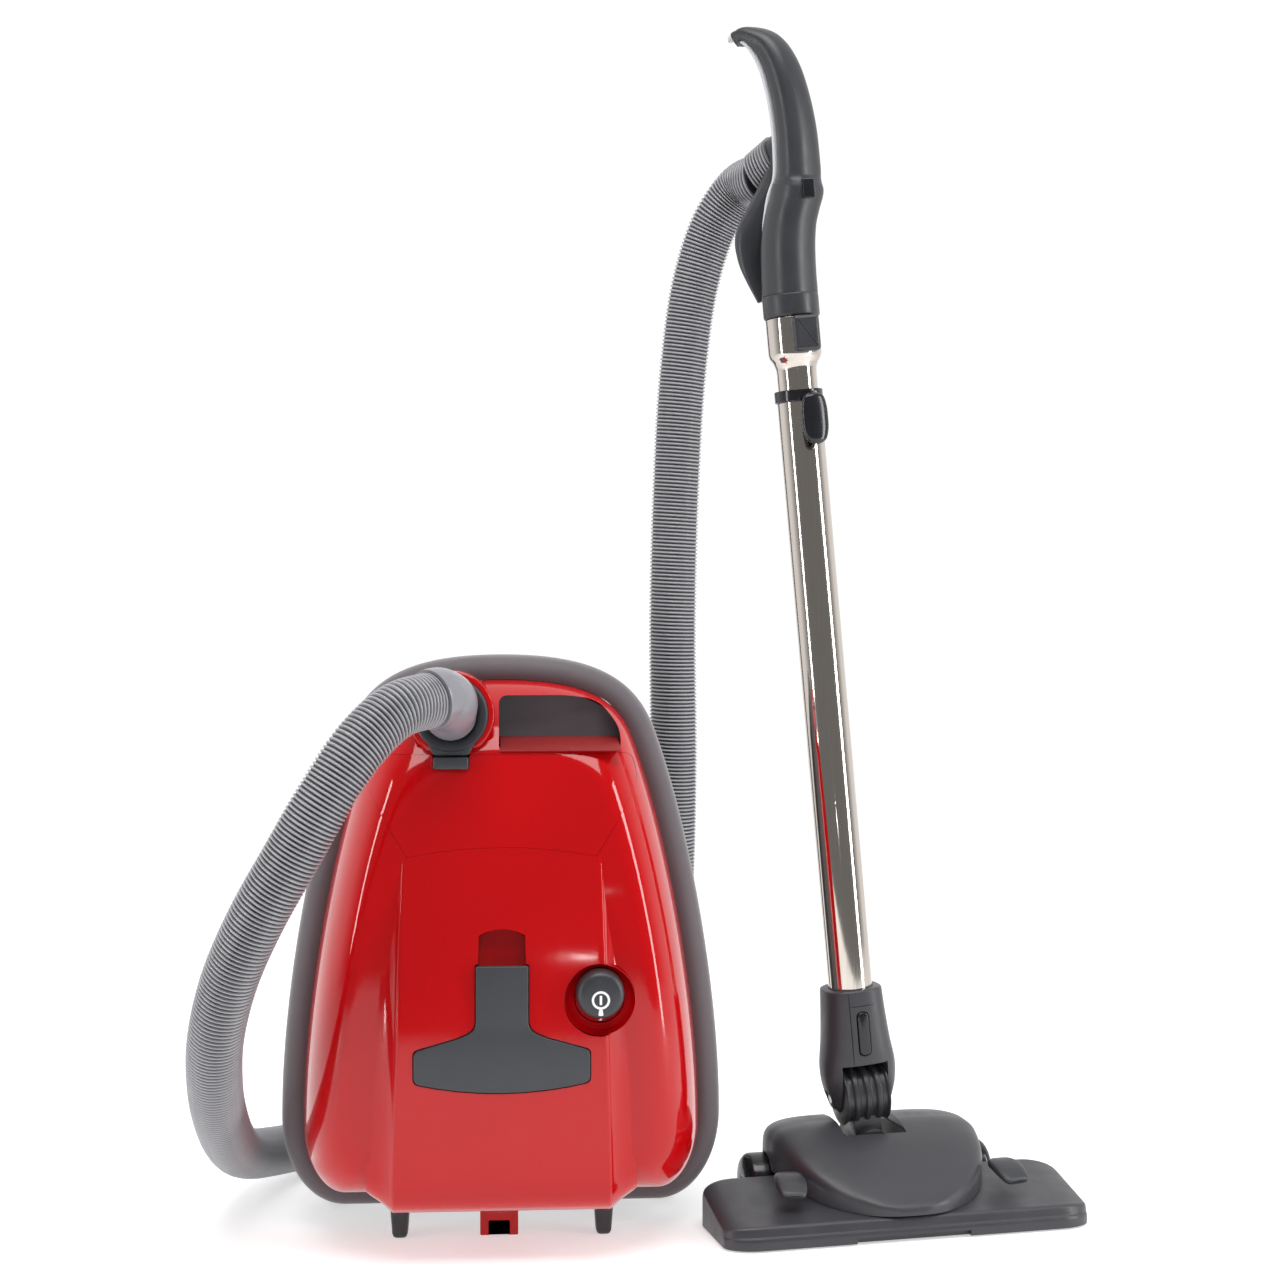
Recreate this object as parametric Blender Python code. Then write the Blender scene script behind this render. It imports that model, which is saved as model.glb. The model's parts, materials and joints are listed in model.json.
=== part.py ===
"""Canister vacuum cleaner, standing on its rear end with its hose, telescopic wand and floor head.

Metres, +Z up. The canister faces -Y and stands to the left, and the floor head stands to the right.
"""
import math

import bmesh
import bpy
import numpy as np
from mathutils import Matrix, Vector

# ---------------------------------------------------------------- driving sizes
GAP = 0.0003                    # clearance between pieces that touch
RUN = 0.0004                    # running clearance of axles and pins
MIDDLE_X, MIDDLE_Y = 0.0053, 0.0170  # puts the origin under the middle of everything but the hose
CANISTER_X = -0.1330            # middle of the canister
BODY_HALF_WIDTH = 0.1525        # over the bumper belt
BODY_BOTTOM = 0.0155            # lower edge of the belt
BODY_TOP = 0.3970               # upper edge of the belt
WALL = 0.0025                   # casing walls
BELT_WIDTH = 0.0170             # belt's width seen from the front
BELT_FRONT = 0.0200             # belt's front face, in front of the parting plane
BELT_BACK = 0.0250
FRONT_DEPTH = 0.1050            # red shell in front of the parting plane, low down
FRONT_DEPTH_TOP = 0.0500
BACK_DEPTH = 0.0900             # belly shell behind the parting plane
BACK_DEPTH_TOP = 0.0560
EDGE_ROUND = 0.0400             # how far the front shell's edge rolls over
PLATEAU_HALF = 0.0720           # raised motor section
PLATEAU_TOP = 0.2670
PLATEAU_RISE = 0.0110
LID_SEAM = 0.2725               # lower edge of the bag lid
LID_TOP = 0.3320
LID_GAP = 0.0006
FILTER_BOTTOM = 0.1155          # tee-shaped exhaust filter cover
FILTER_TOP = 0.1975
FILTER_HALF = 0.0570
FILTER_STEM = 0.0170
FINGER_TOP = 0.2205             # finger hollow over the filter cover's stem
KNOB_X, KNOB_Z, KNOB_R = 0.0635, 0.1790, 0.0158
KNOB_WELL_R = 0.0235
INLET_X, INLET_Z, INLET_R = -0.0335, 0.3585, 0.0245
INLET_BORE = 0.0222
HANDLE_X0, HANDLE_X1, HANDLE_Z0, HANDLE_Z1 = -0.0020, 0.0800, 0.3340, 0.3700
WHEEL_R, WHEEL_W, WHEEL_X, WHEEL_Y = 0.0360, 0.0190, 0.1175, 0.0690
CASTER_Z, CASTER_BOSS, CASTER_HUB = 0.3300, 0.0050, 0.0225
FOOT_X = 0.0695
HOSE_D = 0.0360
HEAD_X, HEAD_Y, HEAD_YAW = 0.1400, -0.0310, math.radians(10.0)
PLATE_W, PLATE_D, PLATE_FRONT, PLATE_REAR = 0.2640, 0.0800, 0.0165, 0.0310
ROLLER_R, ROLLER_W, ROLLER_X, ROLLER_Y = 0.0200, 0.0260, 0.0790, 0.0615
NECK_X, NECK_Y, ROLL_Z, TILT_Z = -0.0060, 0.0480, 0.0500, 0.0830
LEAN = math.radians(5.3)        # how far the parked wand leans to the canister
TUBE_R, TUBE_TOP, TUBE_WALL = 0.0158, 0.5005, 0.0010
INNER_R = 0.0142
SOCKET_R, SOCKET_BOTTOM, SOCKET_TOP = 0.0190, 0.5255, 0.5540

# The hose's middle line, chosen by hand from the elbow to the handle's cuff.
HOSE_ROUTE = [
    (-0.1790, -0.1290, 0.3700), (-0.1990, -0.1500, 0.3640), (-0.2210, -0.1650, 0.3430),
    (-0.2420, -0.1720, 0.3110), (-0.2630, -0.1710, 0.2740), (-0.2840, -0.1640, 0.2370),
    (-0.3020, -0.1500, 0.1980), (-0.3140, -0.1280, 0.1570), (-0.3190, -0.0960, 0.1180),
    (-0.3200, -0.0540, 0.0840), (-0.3190, -0.0030, 0.0560), (-0.3150, 0.0500, 0.0370),
    (-0.3020, 0.1030, 0.0250),
    (-0.2720, 0.1480, 0.0195), (-0.2150, 0.1740, 0.0190), (-0.1450, 0.1820, 0.0190),
    (-0.0850, 0.1790, 0.0240), (-0.0400, 0.1680, 0.0480), (-0.0150, 0.1480, 0.0960),
    (-0.0070, 0.1320, 0.1650), (-0.0040, 0.1200, 0.2400), (-0.0030, 0.1130, 0.3200),
    (-0.0040, 0.1080, 0.4200), (-0.0020, 0.1030, 0.5200), (0.0030, 0.0970, 0.6100),
    (0.0120, 0.0900, 0.6750), (0.0260, 0.0820, 0.7170), (0.0430, 0.0700, 0.7400),
    (0.0560, 0.0520, 0.7440),
]

for old in list(bpy.data.objects):
    bpy.data.objects.remove(old, do_unlink=True)

COLOURS = {
    "gloss_red": ((0.62, 0.006, 0.008), 0.12, 0.0),
    "belt_grey": ((0.14, 0.125, 0.13), 0.85, 0.0),
    "belly_grey": ((0.055, 0.055, 0.06), 0.5, 0.0),
    "slate": ((0.085, 0.09, 0.1), 0.42, 0.0),
    "charcoal": ((0.06, 0.061, 0.066), 0.45, 0.0),
    "black": ((0.015, 0.015, 0.017), 0.35, 0.0),
    "pale_grey": ((0.5, 0.49, 0.51), 0.35, 0.0),
    "hose_grey": ((0.32, 0.32, 0.33), 0.4, 0.0),
    "chrome": ((0.72, 0.69, 0.66), 0.12, 1.0),
    "steel": ((0.5, 0.5, 0.5), 0.3, 1.0),
    "rubber": ((0.03, 0.03, 0.03), 0.8, 0.0),
    "paper": ((0.6, 0.55, 0.45), 0.9, 0.0),
    "foam": ((0.5, 0.5, 0.5), 0.95, 0.0),
    "board": ((0.05, 0.22, 0.08), 0.5, 0.0),
    "copper": ((0.6, 0.3, 0.15), 0.35, 1.0),
    "bristle": ((0.05, 0.05, 0.05), 0.9, 0.0),
}


def material(name):
    """Principled material with the piece's colour, roughness and metallic value."""
    found = bpy.data.materials.get(name)
    if found:
        return found
    colour, rough, metal = COLOURS[name]
    made = bpy.data.materials.new(name)
    made.use_nodes = True
    shader = made.node_tree.nodes["Principled BSDF"]
    shader.inputs["Base Color"].default_value = (*colour, 1.0)
    shader.inputs["Roughness"].default_value = rough
    shader.inputs["Metallic"].default_value = metal
    return made


# ---------------------------------------------------------------- helpers
def empty(name, matrix, parent=None):
    """A named frame that pieces hang on, at a joint or at an assembly's middle."""
    made = bpy.data.objects.new(name, None)
    made.empty_display_size = 0.02
    made.parent = parent
    made.matrix_local = matrix
    bpy.context.scene.collection.objects.link(made)
    return made


def add(name, mesh, colour, parent):
    """Put a mesh into the scene as a named piece that hangs on a frame."""
    made = bpy.data.objects.new(name, mesh)
    bpy.context.scene.collection.objects.link(made)
    made.parent = parent
    if colour:
        made.data.materials.append(material(colour))
    return made


def cutter(obj):
    """Mark a piece as a tool for Boolean cuts only."""
    obj.hide_render = True
    obj.display_type = "WIRE"
    return obj


def boolean(obj, operation, tool, solver="EXACT"):
    modifier = obj.modifiers.new(operation.lower(), "BOOLEAN")
    modifier.operation = operation
    modifier.object = tool
    modifier.solver = solver
    return obj


def finish(bm, name, sharp=35.0):
    bmesh.ops.recalc_face_normals(bm, faces=bm.faces)
    mesh = bpy.data.meshes.new(name)
    bm.to_mesh(mesh)
    bm.free()
    mesh.shade_smooth()
    mesh.set_sharp_from_angle(angle=math.radians(sharp))
    return mesh


def loft(name, rings, closed=False):
    """Skin over rings of equal length; the ends are capped unless the rings close on each other."""
    bm = bmesh.new()
    rows = [[bm.verts.new(p) for p in ring] for ring in rings]
    count = len(rows[0])
    pairs = list(zip(rows, rows[1:]))
    if closed:
        pairs.append((rows[-1], rows[0]))
    for low, high in pairs:
        for i in range(count):
            j = (i + 1) % count
            bm.faces.new((low[i], low[j], high[j], high[i]))
    if not closed:
        for row in (rows[0], rows[-1]):
            middle = bm.verts.new(sum((v.co for v in row), Vector()) / count)
            for i in range(count):
                bm.faces.new((row[i], row[(i + 1) % count], middle))
    return finish(bm, name)


def box(name, low, high, bevel=0.0):
    bm = bmesh.new()
    bmesh.ops.create_cube(bm, size=1.0)
    size = Vector(high) - Vector(low)
    middle = (Vector(high) + Vector(low)) / 2
    for v in bm.verts:
        v.co = Vector((v.co.x * size.x, v.co.y * size.y, v.co.z * size.z)) + middle
    if bevel:
        bmesh.ops.bevel(bm, geom=bm.edges, offset=bevel, segments=2, affect="EDGES", profile=0.6)
    return finish(bm, name)


def frame_to(origin, direction, up=(0, 0, 1)):
    """Matrix whose Z axis runs along a direction from an origin."""
    z = Vector(direction).normalized()
    x = Vector(up).cross(z)
    if x.length < 1e-5:
        x = Vector((1, 0, 0))
    x.normalize()
    y = z.cross(x)
    return Matrix.Translation(origin) @ Matrix((x, y, z)).transposed().to_4x4()


def turned(name, profile, origin=(0, 0, 0), axis=(0, 0, 1), steps=24):
    """Solid of revolution: (radius, height) points; a radius of 0 closes on the axis.

    A profile that starts and ends off the axis is a closed ring, such as a tube or a wheel's tyre.
    """
    place = frame_to(origin, axis)
    ring = profile[0][0] > 0
    bm = bmesh.new()
    rows = []
    for radius, height in profile:
        if radius == 0:
            rows.append([bm.verts.new(place @ Vector((0, 0, height)))])
            continue
        angles = [2 * math.pi * k / steps for k in range(steps)]
        rows.append([bm.verts.new(place @ Vector((radius * math.cos(a), radius * math.sin(a), height)))
                     for a in angles])
    pairs = list(zip(rows, rows[1:]))
    if ring:
        pairs.append((rows[-1], rows[0]))
    for low, high in pairs:
        for i in range(steps):
            j = (i + 1) % steps
            corners = [low[i % len(low)], low[j % len(low)], high[j % len(high)], high[i % len(high)]]
            unique = list(dict.fromkeys(corners))
            if len(unique) > 2:
                bm.faces.new(unique)
    return finish(bm, name)


def prism(name, outline, y0, y1):
    """A closed outline in X and Z, carried along Y."""
    return loft(name, [[(x, y0, z) for x, z in outline], [(x, y1, z) for x, z in outline]])


def arc(cx, cz, radius, start, end, steps):
    """Points on a circle, from one angle to another in degrees."""
    angles = np.radians(np.linspace(start, end, steps))
    return [(cx + radius * math.cos(a), cz + radius * math.sin(a)) for a in angles]


def smooth_line(points, spacing):
    """Even points on a centripetal curve through the route's own points."""
    p = [np.array(q, float) for q in points]
    p = [2 * p[0] - p[1]] + p + [2 * p[-1] - p[-2]]
    dense = []
    for a, b, c, d in zip(p, p[1:], p[2:], p[3:]):
        t = np.cumsum([0.0] + [np.linalg.norm(v - u) ** 0.5 for u, v in ((a, b), (b, c), (c, d))])
        for s in np.linspace(t[1], t[2], 24, endpoint=False):
            a1 = (t[1] - s) / (t[1] - t[0]) * a + (s - t[0]) / (t[1] - t[0]) * b
            a2 = (t[2] - s) / (t[2] - t[1]) * b + (s - t[1]) / (t[2] - t[1]) * c
            a3 = (t[3] - s) / (t[3] - t[2]) * c + (s - t[2]) / (t[3] - t[2]) * d
            b1 = (t[2] - s) / (t[2] - t[0]) * a1 + (s - t[0]) / (t[2] - t[0]) * a2
            b2 = (t[3] - s) / (t[3] - t[1]) * a2 + (s - t[1]) / (t[3] - t[1]) * a3
            dense.append((t[2] - s) / (t[2] - t[1]) * b1 + (s - t[1]) / (t[2] - t[1]) * b2)
    dense = np.array(dense + [p[-2]])
    run = np.concatenate([[0], np.cumsum(np.linalg.norm(np.diff(dense, axis=0), axis=1))])
    count = max(2, round(run[-1] / spacing))
    return np.array([[np.interp(s, run, dense[:, k]) for k in range(3)]
                     for s in np.linspace(0, run[-1], count + 1)])


def swept(name, path, sizes, sides=16, power=2.0, across=(1, 0, 0)):
    """Superellipse sections carried along a path; sizes are half widths across and through it."""
    path = [Vector(p) for p in path]
    rings = []
    for i, point in enumerate(path):
        ahead = (path[min(i + 1, len(path) - 1)] - path[max(i - 1, 0)]).normalized()
        side = (Vector(across) - ahead * ahead.dot(Vector(across))).normalized()
        depth = ahead.cross(side)
        wide, thick = sizes[i]
        ring = []
        for k in range(sides):
            a = 2 * math.pi * k / sides
            c, s = math.cos(a), math.sin(a)
            u = math.copysign(abs(c) ** (2 / power), c) * wide
            v = math.copysign(abs(s) ** (2 / power), s) * thick
            ring.append(point + side * u + depth * v)
        rings.append(ring)
    return loft(name, rings)


def seated(obj, point):
    """Move a piece's origin to a point of its parent frame and leave the shape where it is."""
    obj.data.transform(Matrix.Translation(-Vector(point)))
    obj.location = point
    return obj


# ---------------------------------------------------------------- canister outline
def bezier(a, b, c, d, steps):
    t = np.linspace(0, 1, steps, endpoint=False)[:, None]
    a, b, c, d = (np.array(q) for q in (a, b, c, d))
    return (1 - t) ** 3 * a + 3 * (1 - t) ** 2 * t * b + 3 * (1 - t) * t ** 2 * c + t ** 3 * d


def outline(inset=0.0):
    """Closed outline of the canister in X and Z, anticlockwise, moved inwards by an inset."""
    w, low, top = BODY_HALF_WIDTH, BODY_BOTTOM, BODY_TOP
    foot = (w - 0.0445, low)
    hip = (w, low + 0.0625)
    neck = (w - 0.0465, top - 0.0500)
    half = np.vstack([
        bezier((0, low), (0.04, low), (0.08, low), foot, 3),
        bezier(foot, (foot[0] + 0.026, low), (w, low + 0.0285), hip, 6),
        bezier(hip, (w, low + 0.1545), (w - 0.0245, top - 0.1070), neck, 7),
        bezier(neck, (w - 0.0605, top - 0.0140), (0.060, top), (0, top), 8),
    ])
    full = np.vstack([half, [(0, top)], half[:0:-1] * [-1, 1]])
    along = np.roll(full, -1, axis=0) - np.roll(full, 1, axis=0)
    along /= np.linalg.norm(along, axis=1)[:, None]
    return full + np.stack([-along[:, 1], along[:, 0]], axis=1) * inset


def front_depth(z):
    t = np.clip((z - 0.22) / (BODY_TOP - 0.22), 0, 1)
    return FRONT_DEPTH - (FRONT_DEPTH - FRONT_DEPTH_TOP) * t ** 2


def back_depth(z):
    t = np.clip((z - 0.26) / (BODY_TOP - 0.26), 0, 1)
    return BACK_DEPTH - (BACK_DEPTH - BACK_DEPTH_TOP) * t ** 2


def dome(name, side, thinner, rim):
    """Half of the casing as a closed block: side -1 is the front, +1 the belly.

    It is thinner all round than the outer shell, and starts at the rim's distance from the parting.
    """
    depth = front_depth if side < 0 else back_depth
    start = BELT_FRONT if side < 0 else BELT_BACK
    middle = np.array([0, 0.19])
    edge = outline(BELT_WIDTH + GAP + thinner)
    rings = [[(x, side * rim, z) for x, z in edge]]
    shrinks = [1 - EDGE_ROUND / BODY_HALF_WIDTH * (1 - math.cos(turn)) for turn in np.radians(range(0, 91,
        18))]
    for turn, shrink in zip(np.radians(range(0, 91, 18)), shrinks):
        flat = middle + (edge - middle) * shrink
        reach = start + (depth(flat[:, 1]) - thinner - start) * math.sin(turn)
        rings.append([(x, side * y, z) for (x, z), y in zip(flat, reach)])
    for shrink in (0.50, 0.25):
        inner = middle + (edge - middle) * shrink
        rings.append([(x, side * (depth(z) - thinner), z) for x, z in inner])
    return loft(name, rings)


def plateau(name, thinner):
    """The raised motor section: a side outline in Y and Z carried across, with eased flanks."""
    deep = FRONT_DEPTH + PLATEAU_RISE - thinner
    root = -0.035 + 3 * thinner
    side = [(root, 0.040 + thinner), (0.020 - deep, 0.0335 + thinner), (0.008 - deep, 0.040 + thinner),
            (-deep, 0.060 + thinner), (-deep, 0.130), (0.0035 - deep, 0.200),
            (0.0125 - deep, PLATEAU_TOP - 0.003 - thinner), (0.019 - deep, PLATEAU_TOP - thinner),
            (root, PLATEAU_TOP - thinner)]
    half = PLATEAU_HALF - thinner
    rings = []
    for x, ease in ((-half, 0.004), (-half + 0.003, 0.0), (half - 0.003, 0.0), (half, 0.004)):
        rings.append([(x * (1 - 0.085 * (z - 0.04) / 0.23), min(y + ease, root), z) for y, z in side])
    return loft(name, rings)


whole = empty("vacuum_frame", Matrix.Translation((MIDDLE_X, MIDDLE_Y, 0)))
canister = empty("canister_frame", Matrix.Translation((CANISTER_X, 0, 0)), whole)

# ---------------------------------------------------------------- casings
outer_front = cutter(add("outer_front_guide", dome("outer_front", -1, 0.0, 0.0002), None, canister))
inner_front = cutter(add("inner_front_tool", dome("inner_front", -1, WALL, -0.02), None, canister))
clear_front = cutter(add("clear_front_guide", dome("clear_front", -1, WALL + GAP, 0.001), None, canister))
inner_plateau = cutter(add("inner_plateau_tool", plateau("inner_plateau", WALL), None, canister))
outer_plateau = cutter(add("outer_plateau_guide", plateau("outer_plateau", 0.0), None, canister))


def lid_outline(grow):
    """Bag lid: widens upwards, its lower edge is a shallow arch between the ridges' peaks."""
    low, top = LID_SEAM - grow, LID_TOP + grow
    lower = [(x, low - 0.006 * (x / 0.062) ** 2) for x in np.linspace(-0.062 - grow, 0.062 + grow, 7)]
    right = [(0.0905 + grow, top - 0.014), (0.0865 + grow * 0.7, top - 0.004), (0.079, top)]
    return lower + right + [(-x, z) for x, z in reversed(right)]


def tee_outline(grow):
    """Exhaust filter cover: a stem with fillets on a crossbar with an arched lower edge."""
    low, half, stem = FILTER_BOTTOM - grow, FILTER_HALF + grow, FILTER_STEM + grow
    bar = FILTER_BOTTOM + 0.0272 + grow
    arch = [(x, low + 0.0065 * (x / FILTER_HALF) ** 2) for x in np.linspace(-half, half, 9)]
    right = [(half, bar), (0.027, bar + 0.0085), (stem + 0.0035, bar + 0.0120), (stem, bar + 0.0165),
             (stem, FILTER_TOP + grow)]
    return arch + right + [(-x, z) for x, z in reversed(right)]


def finger_outline():
    top = arc(0, FINGER_TOP - 0.030, 0.030, 60, 120, 5)
    half = FILTER_STEM - 0.001
    return [(-half, FILTER_TOP - 0.030), (half, FILTER_TOP - 0.030)] + top


def handle_outline(grow):
    """Carry handle's opening: flat below, its upper edge falls away to the right."""
    x0, x1 = HANDLE_X0 - grow, HANDLE_X1 + grow
    z0, z1 = HANDLE_Z0 - grow, HANDLE_Z1 + grow
    return ([(x0 + 0.003, z0), (x1 - 0.004, z0)] + arc(x1 - 0.004, z0 + 0.004, 0.004, -60, 0, 3)
            + [(x1, z0 + 0.010)] + arc(x1 - 0.026, z1 - 0.028, 0.026, 15, 80, 5)
            + [(x0 + 0.006, z1)] + [(x0, z1 - 0.006), (x0, z0 + 0.003)])


upper_shell = add("upper_shell", dome("upper_shell", -1, 0.0, 0.0002), "gloss_red", canister)
ring_boss = cutter(add("inlet_boss_guide", turned(
    "inlet_boss", [(0, 0.030), (INLET_R + 0.0042, 0.030), (INLET_R + 0.0042, 0.078),
                   (INLET_R + 0.0022, 0.080), (0, 0.080)],
    (INLET_X, 0, INLET_Z), (0, -1, 0), 28), None, canister))
# The exact solver leaves open edges where these cuts meet the curved shell, so this chain uses the other.
boolean(upper_shell, "UNION", outer_plateau, "MANIFOLD")
boolean(upper_shell, "UNION", ring_boss, "MANIFOLD")
boolean(inner_front, "UNION", inner_plateau)
boolean(upper_shell, "DIFFERENCE", inner_front, "MANIFOLD")
tools = {
    "lid_opening": prism("lid_opening", lid_outline(LID_GAP), -0.150, -0.030),
    "filter_opening": prism("filter_opening", tee_outline(LID_GAP), -0.150, -0.092),
    "handle_opening": prism("handle_opening", handle_outline(0.0), -0.150, -0.026),
    "inlet_opening": turned("inlet_opening", [(0, 0.025), (INLET_R + GAP, 0.025), (INLET_R + GAP, 0.12),
    (0, 0.12)],
                            (INLET_X, 0, INLET_Z), (0, -1, 0), 28),
    "knob_opening": turned("knob_opening", [(0, 0.090), (KNOB_WELL_R, 0.090), (KNOB_WELL_R, 0.14), (0, 0.14)],
                           (KNOB_X, 0, KNOB_Z - 0.0045), (0, -1, 0), 24),
    "finger_opening": prism("finger_opening", finger_outline(), -0.150, -0.095),
}
for tool_name, mesh in tools.items():
    boolean(upper_shell, "DIFFERENCE", cutter(add(tool_name + "_tool", mesh, None, canister)), "MANIFOLD")

bag_lid = add("bag_lid", prism("bag_lid", lid_outline(0.0), -0.150, -0.035), "gloss_red", canister)
boolean(bag_lid, "INTERSECT", outer_front)
boolean(bag_lid, "DIFFERENCE", inner_front)
latch_notch = cutter(add("latch_notch_tool", box(
    "latch_notch", (INLET_X - 0.0120, -0.12, LID_TOP - 0.0095), (INLET_X + 0.0120, -0.03, LID_TOP + 0.01)),
    None, canister))
inlet_relief = cutter(add("inlet_relief_tool", turned(
    "inlet_relief", [(0, 0.03), (INLET_R + 0.0012, 0.03), (INLET_R + 0.0012, 0.14), (0, 0.14)],
    (INLET_X, 0, INLET_Z), (0, -1, 0), 28), None, canister))
boolean(bag_lid, "DIFFERENCE", latch_notch)
boolean(bag_lid, "DIFFERENCE", inlet_relief)
LID_HINGE = (0.0, -float(front_depth(LID_SEAM)) - 0.0002, LID_SEAM - 0.0002)
seated(bag_lid, LID_HINGE)

lid_latch = add("lid_latch", box(
    "lid_latch", (INLET_X - 0.0116, -0.0905, LID_TOP - 0.0092), (INLET_X + 0.0116, -0.0790, LID_TOP - 0.0012),
    0.0015), "slate", canister)

lid_seal = add("lid_seal", loft("lid_seal", [
    [(x * k, y, 0.3015 + (z - 0.3015) * q) for x, z in lid_outline(0.0)]
    for k, q, y in ((0.90, 0.80, -0.0560), (0.90, 0.80, -0.0520), (0.84, 0.70, -0.0520),
    (0.84, 0.70, -0.0560))
], closed=True), "rubber", canister)

handle_recess = add("handle_recess", prism("handle_recess", handle_outline(0.0020), -0.150, -0.0300),
                    "slate", canister)
boolean(handle_recess, "INTERSECT", clear_front)
handle_pocket = cutter(add("handle_pocket_tool", prism("handle_pocket", handle_outline(0.0004), -0.160,
    -0.0322),
                           None, canister))
boolean(handle_recess, "DIFFERENCE", handle_pocket)
inlet_clear = cutter(add("inlet_clear_tool", turned(
    "inlet_clear", [(0, 0.0), (INLET_R + 0.0010, 0.0), (INLET_R + 0.0010, 0.14), (0, 0.14)],
    (INLET_X, 0, INLET_Z), (0, -1, 0), 28), None, canister))
boolean(handle_recess, "DIFFERENCE", inlet_clear)

knob_well = add("knob_well", turned("knob_well", [
    (0, 0.1000), (KNOB_WELL_R - GAP, 0.1000), (KNOB_WELL_R - GAP, 0.1135), (KNOB_WELL_R - 0.0012, 0.1135),
    (0.0212, 0.1025), (0.0050, 0.1025), (0.0050, 0.1024), (0, 0.1024)],
    (KNOB_X, 0, KNOB_Z - 0.0045), (0, -1, 0), 24), "gloss_red", canister)
shaft_hole = cutter(add("shaft_hole_tool", turned(
    "shaft_hole", [(0, 0.08), (0.0042, 0.08), (0.0042, 0.12), (0, 0.12)],
    (KNOB_X, 0, KNOB_Z), (0, -1, 0), 16), None, canister))
boolean(knob_well, "DIFFERENCE", shaft_hole)

filter_cover = add("filter_cover", prism("filter_cover", tee_outline(0.0), -0.1172, -0.1140), "slate",
    canister)
FILTER_HINGE = (0.0, -0.1174, FILTER_BOTTOM - 0.0002)
seated(filter_cover, FILTER_HINGE)

airbelt = add("airbelt", loft("airbelt", [
    [(x, y, z) for x, z in outline(inset)]
    for inset, y in ((BELT_WIDTH, -0.0185), (0.0100, -BELT_FRONT), (0.0030, -0.0165), (0.0, -0.0060),
                     (0.0, 0.0100), (0.0030, 0.0205), (0.0100, BELT_BACK), (BELT_WIDTH, 0.0240))
], closed=True), "belt_grey", canister)

belly_shell = add("belly_shell", dome("belly_shell", 1, 0.0, 0.0002), "belly_grey", canister)
inner_back = cutter(add("inner_back_tool", dome("inner_back", 1, WALL, -0.02), None, canister))
boolean(belly_shell, "DIFFERENCE", inner_back)
caster_y = float(back_depth(CASTER_Z))
boolean(belly_shell, "UNION", cutter(add("caster_boss_guide", turned(
    "caster_boss", [(0, -0.0060), (0.0175, -0.0060), (0.0175, CASTER_BOSS - 0.0015), (0.0160, CASTER_BOSS),
                    (0, CASTER_BOSS)], (0, caster_y, CASTER_Z), (0, 1, 0), 24), None, canister)))
SHELL_FLOOR = BODY_BOTTOM + BELT_WIDTH + GAP
for side in (-1, 1):
    inner, outer = WHEEL_X - WHEEL_W / 2 - 0.004, WHEEL_X + WHEEL_W / 2
    block = cutter(add(f"well_block_{side}_guide", box(
        "well_block", (min(side * (inner - WALL), side * (outer - 0.004)), 0.030, SHELL_FLOOR + 0.0005),
        (max(side * (inner - WALL), side * (outer - 0.004)), BACK_DEPTH - 0.003, 0.0800)), None, canister))
    well = cutter(add(f"well_{side}_tool", turned(
        "well", [(0, inner), (WHEEL_R + 0.0035, inner), (WHEEL_R + 0.0035, 0.17), (0, 0.17)],
        (0, WHEEL_Y, WHEEL_R), (side, 0, 0), 28), None, canister))
    boolean(belly_shell, "UNION", block)
    boolean(belly_shell, "DIFFERENCE", well)

# ---------------------------------------------------------------- wheels, feet, caster
for side, word in ((-1, "left"), (1, "right")):
    hub = empty(f"rear_wheel_{word}_axis", Matrix.Translation((side * WHEEL_X, WHEEL_Y, WHEEL_R)), canister)
    half = WHEEL_W / 2
    add(f"rear_wheel_{word}", turned("rear_wheel", [
        (0.0044, -half + 0.003), (0.012, -half + 0.001), (WHEEL_R - 0.004, -half),
        (WHEEL_R - 0.001, -half + 0.002),
        (WHEEL_R, -half + 0.006), (WHEEL_R, half - 0.006), (WHEEL_R - 0.001, half - 0.002),
        (WHEEL_R - 0.004, half), (0.012, half - 0.003), (0.0044, half - 0.004)], (0, 0, 0), (side, 0, 0), 32),
        "belly_grey", hub)
    add(f"rear_axle_{word}", turned("rear_axle", [
        (0, -half - 0.0037), (0.0040, -half - 0.0037), (0.0040, half - 0.002), (0, half - 0.002)],
        (side * WHEEL_X, WHEEL_Y, WHEEL_R), (side, 0, 0), 16), "steel", canister)
    foot_top = SHELL_FLOOR - GAP
    add(f"foot_{word}", loft("foot", [
        [(side * FOOT_X + u * w, -0.0330 + v * d, z) for u, v in ((-1, -1), (1, -1), (1, 1), (-1, 1))]
        for w, d, z in ((0.0042, 0.0060, 0.0), (0.0052, 0.0075, 0.0012), (0.0066, 0.0095, 0.0200),
                        (0.0068, 0.0098, foot_top))]), "charcoal", canister)

bracket = add("parking_bracket", box("parking_bracket", (-0.0150, -0.0400, 0.0010),
    (0.0110, -0.0290, foot_top)),
              "gloss_red", canister)
boolean(bracket, "DIFFERENCE", cutter(add("bracket_slot_tool", box(
    "bracket_slot", (-0.0085, -0.0500, -0.0100), (0.0045, -0.0200, 0.0105)), None, canister)))

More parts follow.
